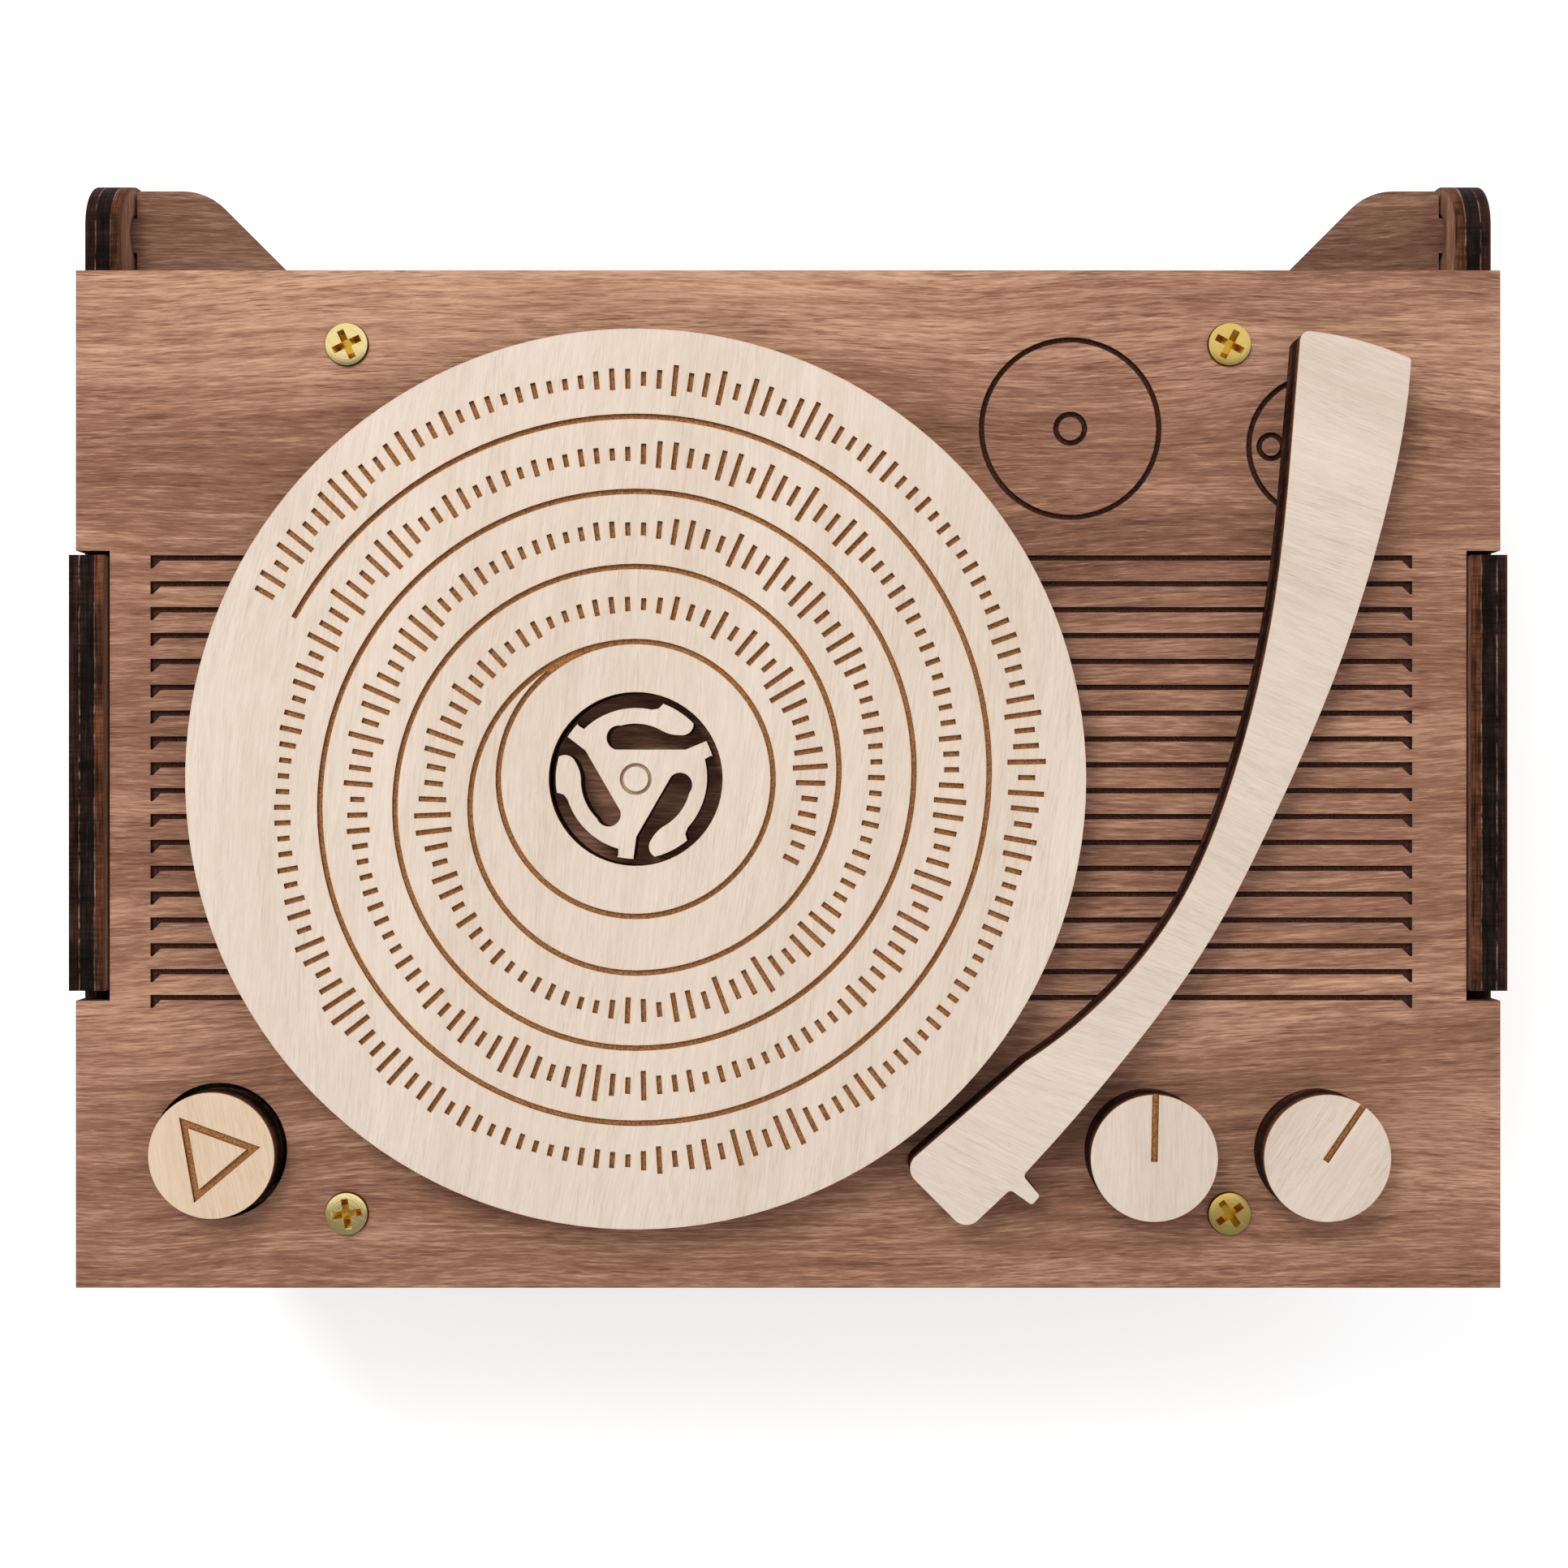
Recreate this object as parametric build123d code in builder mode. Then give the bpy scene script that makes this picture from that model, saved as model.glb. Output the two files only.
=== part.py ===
from build123d import *
import math
import os

os.makedirs("parts", exist_ok=True)

# A hand-sized sound box dressed as a record player, cut from thin plywood sheet.
# Millimetres, +Z up. The origin lies under the middle of the whole object, on the table.
# "Front" is -Y, the side with the play button and the two knobs.

# ---------------------------------------------------------------- sheet and overall size
ply = 3.2  # every wooden piece is one sheet thick
deck_width = 126.0
deck_depth = 90.0
deck_height = 38.0  # table to the top face of the deck
side_proud = 0.5  # the side panels' outer faces stand out past the deck's edges
front_setback = 0.5  # the front panel's outer face lies behind the deck's front edge
seat_gap = 0.05  # between faces that slide on, or are lifted off, each other
swing_gap = 0.3  # between the lid's layers and the side panels
nose_gap = 0.4  # between the lid's layers and the front panel

# ---------------------------------------------------------------- hinge
axis_setback = 5.1  # hinge axis behind the deck's back edge
lobe_reach = 4.1  # hinge panel behind the axis
lobe_corner = 5.5
lobe_width = 16.7  # foot of each lobe, measured in from the panel's side edge
lobe_flat = 6.5  # straight end of each lobe
root_corner = 2.0
pin_end_gap = 0.2  # pin end to the side panel's outer face
pin_running_fit = 0.09  # round hole to the corners of the square pin
back_panel_gap = 0.2  # back panel's top edge to the hinge panel above it

# ---------------------------------------------------------------- side panel tabs
tab_length = 38.5
tab_shift = 0.55  # middle of the tab, behind the middle of the deck
tab_proud = 0.3
notch_front_gap = 0.9  # lets the notch swing past the tab
notch_rear_gap = 0.4

# ---------------------------------------------------------------- box joints
front_fingers = 5  # equal steps up each front corner
back_fingers = 3
long_fingers = 7  # equal steps along the bottom's long edges
short_fingers = 5

# ---------------------------------------------------------------- lid frame
rail_width = 4.5
back_rail_width = 8.0
back_rail_setback = 1.0  # back rail's rear face inside the deck's back edge

# ---------------------------------------------------------------- lid screws
screw_inset_x = 24.0
screw_inset_y = 6.6
screw_head_radius = 1.85
screw_head_proud = 0.3
screw_shank_radius = 1.0
screw_length = 9.2
screw_tip = 0.8
screw_clearance = 0.1
screw_turns = (25.0, 62.0, 8.0, 36.0)  # how far each cross recess is turned
cross_length = 2.7
cross_foot = 1.3  # length of the recess at its floor; its ends slope in
cross_width = 0.62
cross_depth = 0.85

# ---------------------------------------------------------------- record and hub
record_inset = 49.8  # record's middle from the deck's left edge
record_radius = 39.0
hub_radius = 6.93
hub_hole_gap = 0.6  # hub to the hole in the record
hub_drawn_radius = 6.93  # the hub's outline is drawn for this radius, and scaled to hub_radius
hub_eye_radius = 1.23
label_radius = 11.9
groove_turns = 3
groove_margin = 7.6  # record's rim to the top of the outermost whole turn
groove_sink = 1.6  # the groove's turns hang this much lower than they stand high
groove_start = 151.0  # degrees, where the outermost turn begins
mark_pitch = 1.35  # sound-wave marks along the groove
mark_width = 0.45
mark_tallest = 3.5
mark_shortest = 0.8
mark_end_angle = -30.0

# ---------------------------------------------------------------- tonearm
arm_pivot_inset_x = 16.0
arm_pivot_inset_y = 15.6
arm_head_corner = 1.4
arm_heel_corner = 0.8
arm_neck_corner = 0.4
arm_tip_corner = 0.25

# ---------------------------------------------------------------- button and knobs
button_inset_x = 12.7
button_radius = 5.5
button_gap = 0.5
button_height = 2.2  # cap above the deck
button_turn = 10.0
play_mark_radius = 3.75
play_mark_line = 0.62
knob_radius = 5.5
knob_inset_x = 16.3
knob_spacing = 15.0
knob_turns = {"left": -1.3, "right": -34.3}
pointer_width = 0.58
pointer_overrun = 0.3  # past the knob's middle, and past its rim

# ---------------------------------------------------------------- pivot screws under the deck
pivot_head_radius = 1.75
pivot_head_height = 1.2
pivot_shank_radius = 1.0
pivot_running_fit = 0.1
pivot_bite = 2.4  # shank inside the turning piece
pivot_cross_length = 2.3

# ---------------------------------------------------------------- engraving
burn_depth = 0.4  # in the dark sheet
score_depth = 0.3  # in the pale sheet
line_width = 0.47
fine_line = 0.3
ring_radius = 7.85
ring_eye_radius = 1.27
ring_inset_x = 38.05
ring_inset_y = 14.0
base_ring_radius = 6.25
base_eye_radius = 1.04
base_eye_shift = 4.3
louvre_count = 18
louvre_pitch = 2.287
louvre_length = 111.6
louvre_shift_x = -0.6
louvre_shift_y = 0.35
louvre_hook_height = 1.15
louvre_hook_width = 0.9
louvre_hook_tip = 0.2
louvre_clear = 2.0  # the deck stays bare under the hub and this far past the record's hole

# ---------------------------------------------------------------- sound module
board_size = (28.0, 22.0, 1.0)
board_gap = 0.4  # board to the rails beside it
switch_size = (6.0, 6.0, 3.0)
switch_rail_gap = 0.55  # front rail to the switch; sets how far back the controls stand
switch_bore_depth = 2.0
stem_radius = 1.7
stem_running_fit = 0.1
stem_reach = 1.0  # stem inside the switch at rest
chip_size = (8.0, 6.0, 1.5)
cell_size = (30.0, 20.0, 3.0)
cell_gap = 12.0  # board to cell
speaker_radius = 14.0
speaker_height = 3.0
speaker_rim = 1.6
speaker_sheet = 0.5
magnet_radius = 5.5
speaker_x = 6.0
lead_radius = 0.5
lead_spacing = 2.0
sound_hole_radius = 1.25
sound_hole_pitch = 3.6

# ---------------------------------------------------------------- worked-out levels and edges
axis_reach = ply * 1.5  # hinge axis below the deck's underside: the middle of the hinge panel
ear_radius = axis_reach - seat_gap
overall_back = axis_setback + ear_radius
deck_y = -overall_back / 2
deck_front = deck_y - deck_depth / 2
deck_back = deck_y + deck_depth / 2
deck_left = -deck_width / 2
deck_right = deck_width / 2
deck_under = deck_height - ply
frame_under = deck_under - ply
hinge_under = frame_under - ply
axis_y = deck_back + axis_setback
axis_z = deck_under - axis_reach

outer_x = deck_width / 2 + side_proud
inner_x = outer_x - ply
lid_x = inner_x - swing_gap
front_out = deck_front + front_setback
front_in = front_out + ply
back_out = deck_back
back_in = back_out - ply
lid_front = front_in + nose_gap
wall_top = deck_under - seat_gap
back_top = hinge_under - back_panel_gap
ear_chamfer_y = axis_y + ear_radius * math.cos(math.radians(45))
ear_chamfer_z = axis_z - ear_radius * math.sin(math.radians(45))
ear_root = ear_chamfer_z - (ear_chamfer_y - back_out)
tab_front = deck_y + tab_shift - tab_length / 2
tab_back = tab_front + tab_length

record_x = deck_left + record_inset
record_y = deck_y
record_hole_radius = hub_radius + hub_hole_gap
groove_pitch = (record_radius - groove_margin - label_radius) / groove_turns
top_seat = deck_height + seat_gap  # underside of what turns on the deck
top_face = top_seat + ply
arm_x = deck_right - arm_pivot_inset_x
arm_y = deck_back - arm_pivot_inset_y
button_x = deck_left + button_inset_x
control_y = lid_front + rail_width + switch_rail_gap + switch_size[1] / 2
knob_x = {
    "left": deck_right - knob_inset_x - knob_spacing,
    "right": deck_right - knob_inset_x,
}
screw_spots = [
    (deck_left + screw_inset_x, deck_back - screw_inset_y),
    (deck_right - screw_inset_x, deck_back - screw_inset_y),
    (deck_left + screw_inset_x, deck_front + screw_inset_y),
    (deck_right - screw_inset_x, deck_front + screw_inset_y),
]
pivot_spots = [(knob_x["left"], control_y), (knob_x["right"], control_y), (arm_x, arm_y)]


def steps(start, stop, count, first):
    """Every second of `count` equal steps from start to stop, as (middle, length) pairs."""
    length = (stop - start) / count
    return [(start + (index + 0.5) * length, length) for index in range(first, count, 2)]


front_steps = steps(0, wall_top, front_fingers, 1)
back_steps = steps(0, ear_root, back_fingers, 1)
long_steps = steps(-inner_x, inner_x, long_fingers, 1)
short_steps = steps(front_in, back_in, short_fingers, 1)

# ================================================================ the box
# The bottom keeps the odd steps of each edge; the walls come down through the others.
with BuildPart() as bottom_panel:
    with BuildSketch(Plane.XY):
        with Locations((0, (front_in + back_in) / 2)):
            Rectangle(2 * inner_x, back_in - front_in)
        for middle, length in long_steps:
            with Locations((middle, (front_out + back_out) / 2)):
                Rectangle(length, back_out - front_out)
        for middle, length in short_steps:
            with Locations((0, middle)):
                Rectangle(2 * outer_x, length)
    extrude(amount=ply)
bottom_panel.part.label = "bottom_panel"
export_step(bottom_panel.part, "parts/bottom_panel.step")

# Upright panels across the front and back, drawn in X and Z.
with BuildPart() as front_panel:
    with BuildSketch(Plane.XZ.offset(-front_in)):
        with Locations((0, wall_top / 2)):
            Rectangle(2 * inner_x, wall_top)
        for middle, length in front_steps:
            with Locations((0, middle)):
                Rectangle(2 * outer_x, length)
        for middle, length in long_steps:
            with Locations((middle, ply / 2)):
                Rectangle(length, ply, mode=Mode.SUBTRACT)
    extrude(amount=ply)
front_panel.part.label = "front_panel"
export_step(front_panel.part, "parts/front_panel.step")

with BuildPart() as back_panel:
    with BuildSketch(Plane.XZ.offset(-back_out)):
        with Locations((0, back_top / 2)):
            Rectangle(2 * inner_x, back_top)
        for middle, length in back_steps:
            with Locations((0, middle)):
                Rectangle(2 * outer_x, length)
        for middle, length in long_steps:
            with Locations((middle, ply / 2)):
                Rectangle(length, ply, mode=Mode.SUBTRACT)
    extrude(amount=ply)
back_panel.part.label = "back_panel"
export_step(back_panel.part, "parts/back_panel.step")

# Side panels, drawn in Y and Z: a tab that shows through the deck's edge, and a round
# hinge ear behind, carried on a 45 degree slope.
pin_hole_radius = math.hypot(ply / 2, ply / 2) + pin_running_fit
for side, inner_face in (("left", -outer_x), ("right", inner_x)):
    with BuildPart() as side_panel:
        with BuildSketch(Plane.YZ.offset(inner_face)):
            with BuildLine():
                Polyline(
                    (axis_y, wall_top),
                    (front_out, wall_top),
                    (front_out, 0),
                    (back_out, 0),
                    (back_out, ear_root),
                    (ear_chamfer_y, ear_chamfer_z),
                )
                CenterArc((axis_y, axis_z), ear_radius, -45, 135)
            make_face()
            with Locations((deck_y + tab_shift, (wall_top + deck_height + tab_proud) / 2)):
                Rectangle(tab_length, deck_height + tab_proud - wall_top)
            for middle, length in front_steps:
                with Locations((front_out + ply / 2, middle)):
                    Rectangle(ply, length, mode=Mode.SUBTRACT)
            for middle, length in back_steps:
                with Locations((back_out - ply / 2, middle)):
                    Rectangle(ply, length, mode=Mode.SUBTRACT)
            for middle, length in short_steps:
                with Locations((middle, ply / 2)):
                    Rectangle(length, ply, mode=Mode.SUBTRACT)
            with Locations((axis_y, axis_z)):
                Circle(pin_hole_radius, mode=Mode.SUBTRACT)
        extrude(amount=ply)
    side_panel.part.label = f"{side}_side_panel"
    export_step(side_panel.part, f"parts/{side}_side_panel.step")

# ================================================================ the lid
def louvre(left, right, top):
    """One engraved louvre: a long line with a hooked end at each side."""
    bottom = top - line_width
    hook = top - louvre_hook_height
    Polyline(
        (left, top),
        (right, top),
        (right, hook),
        (right - louvre_hook_tip, hook),
        (right - louvre_hook_width, bottom),
        (left + louvre_hook_width, bottom),
        (left + louvre_hook_tip, hook),
        (left, hook),
        close=True,
    )


def ring(radius, width):
    """An engraved circle of the given middle radius and line width."""
    Circle(radius + width / 2)
    Circle(radius - width / 2, mode=Mode.SUBTRACT)


with BuildPart() as deck:
    with BuildSketch(Plane.XY.offset(deck_under)):
        with Locations((0, deck_y)):
            Rectangle(deck_width, deck_depth)
        notch_front = tab_front - notch_front_gap
        notch_back = tab_back + notch_rear_gap
        for direction in (-1, 1):
            with Locations((direction * (lid_x + outer_x) / 2, (notch_front + notch_back) / 2)):
                Rectangle(outer_x - lid_x, notch_back - notch_front, mode=Mode.SUBTRACT)
        with Locations((button_x, control_y)):
            Circle(button_radius + button_gap, mode=Mode.SUBTRACT)
        with Locations(*pivot_spots):
            Circle(pivot_shank_radius + pivot_running_fit, mode=Mode.SUBTRACT)
    extrude(amount=ply)
    with Locations(*[(x, y, deck_height) for x, y in screw_spots]):
        CounterSinkHole(screw_shank_radius + screw_clearance, screw_head_radius + screw_clearance)
    with BuildSketch(Plane.XY.offset(deck_height)):
        louvre_left = louvre_shift_x - louvre_length / 2
        for row in range(louvre_count):
            row_y = deck_y + louvre_shift_y + ((louvre_count - 1) / 2 - row) * louvre_pitch
            with BuildLine():
                louvre(louvre_left, louvre_left + louvre_length, row_y)
            make_face()
        with Locations((record_x, record_y)):
            Circle(record_hole_radius + louvre_clear, mode=Mode.SUBTRACT)
        with Locations((deck_right - ring_inset_x, deck_back - ring_inset_y)):
            ring(ring_radius, line_width)
            ring(ring_eye_radius, line_width)
        with Locations((arm_x, arm_y)):
            ring(base_ring_radius, line_width)
        with Locations((arm_x - base_eye_shift, arm_y)):
            ring(base_eye_radius, line_width)
    extrude(amount=-burn_depth, mode=Mode.SUBTRACT)
deck.part.label = "deck"
export_step(deck.part, "parts/deck.step")

# Four rails hold the deck one sheet above the hinge panel, and leave room for the sound module.
rail_front = lid_front + rail_width
back_rail_back = deck_back - back_rail_setback
back_rail_front = back_rail_back - back_rail_width
side_rail_x = lid_x - rail_width / 2
side_rail_y = (rail_front + back_rail_front) / 2
side_rail_length = back_rail_front - rail_front
rails = {
    "front": (0, (lid_front + rail_front) / 2, 2 * lid_x, rail_width),
    "back": (0, (back_rail_front + back_rail_back) / 2, 2 * lid_x, back_rail_width),
    "left": (-side_rail_x, side_rail_y, rail_width, side_rail_length),
    "right": (side_rail_x, side_rail_y, rail_width, side_rail_length),
}
for side, (middle_x, middle_y, width, depth) in rails.items():
    with BuildPart() as rail:
        with BuildSketch(Plane.XY.offset(frame_under)):
            with Locations((middle_x, middle_y)):
                Rectangle(width, depth)
            for x, y in screw_spots:
                if abs(y - middle_y) < depth / 2:
                    with Locations((x, y)):
                        Circle(screw_shank_radius + screw_clearance, mode=Mode.SUBTRACT)
        extrude(amount=ply)
    rail.part.label = f"{side}_rail"
    export_step(rail.part, f"parts/{side}_rail.step")

# The lid's lowest sheet reaches back between the ears. Its two lobes carry the hinge pins.
lobe_back = axis_y + lobe_reach
root_y = back_rail_back
root_x = lid_x - lobe_width
slope_x = lid_x - lobe_flat
with BuildPart() as hinge_panel:
    with BuildSketch(Plane.XY.offset(hinge_under)) as hinge_outline:
        with BuildLine():
            Polyline(
                (-lid_x, lid_front),
                (lid_x, lid_front),
                (lid_x, lobe_back),
                (slope_x, lobe_back),
                (root_x, root_y),
                (-root_x, root_y),
                (-slope_x, lobe_back),
                (-lid_x, lobe_back),
                close=True,
            )
        make_face()
        lobe_tips = hinge_outline.vertices().filter_by(
            lambda corner: abs(corner.Y - lobe_back) < 0.01 and abs(abs(corner.X) - slope_x) < 0.01
        )
        fillet(lobe_tips, lobe_corner)
        lobe_roots = hinge_outline.vertices().filter_by(lambda corner: abs(abs(corner.X) - root_x) < 0.01)
        fillet(lobe_roots, root_corner)
        pin_end = outer_x - pin_end_gap
        for direction in (-1, 1):
            with Locations((direction * (lid_x + pin_end) / 2, axis_y)):
                Rectangle(pin_end - lid_x, ply)
        with Locations(*screw_spots):
            Circle(screw_shank_radius, mode=Mode.SUBTRACT)
        with Locations((speaker_x, deck_y)):
            Circle(sound_hole_radius, mode=Mode.SUBTRACT)
            with PolarLocations(sound_hole_pitch, 6):
                Circle(sound_hole_radius, mode=Mode.SUBTRACT)
            with PolarLocations(2 * sound_hole_pitch, 12):
                Circle(sound_hole_radius, mode=Mode.SUBTRACT)
    extrude(amount=ply)
hinge_panel.part.label = "hinge_panel"
export_step(hinge_panel.part, "parts/hinge_panel.step")

# Countersunk cross-recess screws through the deck and rails into the hinge panel.
screw_top = deck_height + screw_head_proud
with BuildPart() as lid_screws:
    with Locations(*[Location((x, y, screw_top)) for x, y in screw_spots]):
        Cylinder(screw_head_radius, screw_head_proud, align=(Align.CENTER, Align.CENTER, Align.MAX))
        Cylinder(screw_shank_radius, screw_length - screw_tip, align=(Align.CENTER, Align.CENTER, Align.MAX))
    head_slope = screw_head_radius - screw_shank_radius
    with Locations(*[Location((x, y, deck_height)) for x, y in screw_spots]):
        Cone(
            screw_shank_radius,
            screw_head_radius,
            head_slope,
            align=(Align.CENTER, Align.CENTER, Align.MAX),
        )
    with Locations(*[Location((x, y, screw_top - screw_length + screw_tip)) for x, y in screw_spots]):
        Cone(0.2, screw_shank_radius, screw_tip, align=(Align.CENTER, Align.CENTER, Align.MAX))
    for (x, y), turn in zip(screw_spots, screw_turns):
        for slot_turn in (turn, turn + 90):
            along = Vector(1, 0, 0).rotate(Axis.Z, slot_turn)
            with BuildSketch(Plane((x, y, screw_top), x_dir=along, z_dir=along.rotate(Axis.Z, -90))):
                with BuildLine():
                    Polyline(
                        (-cross_length / 2, 0),
                        (cross_length / 2, 0),
                        (cross_foot / 2, -cross_depth),
                        (-cross_foot / 2, -cross_depth),
                        close=True,
                    )
                make_face()
            extrude(amount=cross_width / 2, both=True, mode=Mode.SUBTRACT)
    with Locations(*[Location((x, y, screw_top)) for x, y in screw_spots]):
        Cylinder(cross_width * 0.8, 2 * cross_depth, mode=Mode.SUBTRACT)
lid_screws.part.label = "lid_screws"
export_step(lid_screws.part, "parts/lid_screws.step")

# ================================================================ on the deck
# The hub in the record's hole: three arms swept round like a single-record adapter.
# Its outline is drawn once, for one third of a turn.
hub_scale = hub_radius / hub_drawn_radius
hub_plane = Plane((record_x, record_y, deck_height))
with BuildPart() as record_hub:
    with BuildSketch(hub_plane):
        Circle(hub_radius)
        with PolarLocations(0, 3):
            with BuildSketch(mode=Mode.PRIVATE) as hub_slot:
                with BuildLine():
                    Polyline((-1.7, 2.54), (4.32, 2.54), (6.01, 3.24), (7.2, 3.85), (5.85, 5.6), (5.0, 4.76))
                    ThreePointArc((5.0, 4.76), (4.72, 4.08), (3.92, 3.79))
                    ThreePointArc((3.92, 3.79), (2.95, 3.90), (2.1, 4.28))
                    ThreePointArc((2.1, 4.28), (0.2, 4.79), (-1.3, 4.62))
                    ThreePointArc((-1.3, 4.62), (-2.53, 3.55), (-1.7, 2.54))
                make_face()
            with BuildSketch(mode=Mode.PRIVATE) as hub_rim:
                with BuildLine():
                    Polyline((1.4, 6.0), (1.95, 6.08), (2.35, 6.45), (2.35, 8.2), (-5.5, 7.2), (-5.0, 4.64))
                    Line((-5.0, 4.64), (-4.48, 4.32))
                    ThreePointArc((-4.48, 4.32), (-1.75, 5.90), (1.4, 6.0))
                make_face()
            add(scale(hub_slot.sketch, hub_scale, mode=Mode.PRIVATE), mode=Mode.SUBTRACT)
            add(scale(hub_rim.sketch, hub_scale, mode=Mode.PRIVATE), mode=Mode.SUBTRACT)
    extrude(amount=ply)
    with BuildSketch(hub_plane.offset(ply)):
        ring(hub_eye_radius, fine_line)
    extrude(amount=-score_depth, mode=Mode.SUBTRACT)
record_hub.part.label = "record_hub"
export_step(record_hub.part, "parts/record_hub.step")

# The record. Its groove is a chain of half circles that meet on the record's middle line, each
# smaller than the last; it runs clockwise from the rim and ends on the label circle.
def groove_top(turn):
    """Height of the groove above the middle, where the given turn crosses the middle line."""
    return label_radius + groove_pitch * (groove_turns - turn)


def groove_bottom(turn):
    """Depth of the groove below the middle, half a turn after groove_top."""
    return groove_top(turn) - groove_sink


# Each piece: middle height, radius, start angle and span, in degrees.
groove_arcs = []
for turn in range(-1, groove_turns):
    if turn >= 0:
        top, bottom = groove_top(turn), groove_bottom(turn)
        groove_arcs.append(((top - bottom) / 2, (top + bottom) / 2, 90.0, -180.0))
    bottom, top = groove_bottom(turn), groove_top(turn + 1)
    if turn >= 0:
        groove_arcs.append(((top - bottom) / 2, (top + bottom) / 2, 270.0, -180.0))
    else:
        groove_arcs.append(((top - bottom) / 2, (top + bottom) / 2, groove_start, 90.0 - groove_start))


def arc_chain(shift):
    """The groove's line, moved outwards by shift."""
    for middle, radius, start, span in groove_arcs:
        CenterArc((0, middle), radius + shift, start, span)


def wave_height(index):
    """Length of one sound-wave mark: slow swells with quick beats inside them."""
    swell = 0.62 + 0.38 * math.sin(index * 0.21)
    beat = 0.5 + 0.5 * math.sin(index * 1.73 + 2.0 * math.sin(index * 0.37))
    return mark_shortest + (mark_tallest - mark_shortest) * swell * (0.25 + 0.75 * beat)


# Marks stand halfway between one turn of the groove and the next one out.
wave_marks = []
for middle, radius, start, span in groove_arcs + [(0, label_radius, 90.0, mark_end_angle - 90.0)]:
    mark_radius = radius + groove_pitch / 2
    count = int(math.radians(abs(span)) * mark_radius / mark_pitch)
    for step in range(count):
        angle = start + span * (step + 0.5) / count
        mark = Rectangle(wave_height(len(wave_marks)), mark_width)
        wave_marks.append(Pos(0, middle) * Rot(0, 0, angle) * Pos(mark_radius, 0) * mark)

record_plane = Plane((record_x, record_y, top_face))
with BuildPart() as record:
    with BuildSketch(Plane((record_x, record_y, top_seat))):
        Circle(record_radius)
        Circle(record_hole_radius, mode=Mode.SUBTRACT)
    extrude(amount=ply)
    with BuildSketch(record_plane):
        with BuildLine():
            arc_chain(line_width / 2)
            arc_chain(-line_width / 2)
            start_middle, start_radius, start_angle, _ = groove_arcs[0]
            start_point = Vector(0, start_middle) + Vector(start_radius, 0).rotate(Axis.Z, start_angle)
            start_step = Vector(line_width / 2, 0).rotate(Axis.Z, start_angle)
            Line(start_point - start_step, start_point + start_step)
            Line((0, label_radius - line_width / 2), (0, label_radius + line_width / 2))
        make_face()
        ring(label_radius, line_width)
    extrude(amount=-score_depth, mode=Mode.SUBTRACT)
    with BuildSketch(record_plane):
        add(wave_marks)
    extrude(amount=-score_depth, mode=Mode.SUBTRACT)
record.part.label = "record"
export_step(record.part, "parts/record.step")
print("sound-wave marks on the record:", len(wave_marks))

# The tonearm: an S-curved bar with a headshell and finger lift, drawn about its pivot.
heel_left = (-2.6, 9.45)
heel_right = (6.93, 6.98)
head_inner = (-37.1, -63.05)
head_front = (-31.6, -68.56)
lift_foot = (-27.78, -64.96)
lift_front = (-25.9, -66.29)
lift_back = (-25.2, -65.5)
lift_root = (-26.67, -63.74)
arm_corners = [
    (heel_left, arm_heel_corner),
    (heel_right, arm_tip_corner),
    (head_inner, arm_head_corner),
    (head_front, arm_head_corner),
    (lift_foot, arm_neck_corner),
    (lift_front, arm_tip_corner),
    (lift_back, arm_tip_corner),
    (lift_root, arm_neck_corner),
]
with BuildPart() as tonearm:
    with BuildSketch(Plane((arm_x, arm_y, top_seat))) as arm_outline:
        with BuildLine():
            left_edge = Spline(
                heel_left, (-3.33, 0.6), (-4.92, -14.2), (-8.4, -29.0), (-13.1, -40.2), (-20.5, -49.3),
                (-26.5, -53.9),
            )
            Polyline(left_edge @ 1, head_inner, head_front, lift_foot, lift_front, lift_back, lift_root)
            right_edge = Spline(
                lift_root, (-23.8, -60.6), (-17.24, -52.8), (-11.2, -44.5), (-5.0, -32.8), (0.68, -19.6),
                (4.69, -6.5), (6.75, 4.6), heel_right,
            )
            ThreePointArc(heel_right, (2.42, 8.58), heel_left)
        make_face()
        for corner, radius in arm_corners:
            fillet(arm_outline.vertices().sort_by_distance(corner)[0], radius)
    extrude(amount=ply)
    with Locations((arm_x, arm_y, top_seat)):
        Cylinder(
            pivot_shank_radius,
            pivot_bite,
            align=(Align.CENTER, Align.CENTER, Align.MIN),
            mode=Mode.SUBTRACT,
        )
tonearm.part.label = "tonearm"
export_step(tonearm.part, "parts/tonearm.step")

# ================================================================ button and knobs
# The play button is a loose wooden cap glued to the switch's plunger.
button_top = deck_height + button_height
button_under = button_top - ply
with BuildPart() as play_button:
    with BuildSketch(Plane((button_x, control_y, button_under))):
        Circle(button_radius)
    extrude(amount=ply)
    with BuildSketch(Plane((button_x, control_y, button_top))):
        RegularPolygon(play_mark_radius + play_mark_line, 3, rotation=button_turn)
        RegularPolygon(play_mark_radius - play_mark_line, 3, rotation=button_turn, mode=Mode.SUBTRACT)
    extrude(amount=-score_depth, mode=Mode.SUBTRACT)
play_button.part.label = "play_button"
export_step(play_button.part, "parts/play_button.step")

board_top = frame_under + board_size[2]
switch_top = board_top + switch_size[2]
with BuildPart() as switch_plunger:
    with BuildSketch(Plane((button_x, control_y, switch_top - stem_reach))):
        Circle(stem_radius)
    extrude(amount=button_under - switch_top + stem_reach)
switch_plunger.part.label = "switch_plunger"
export_step(switch_plunger.part, "parts/switch_plunger.step")

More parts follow.
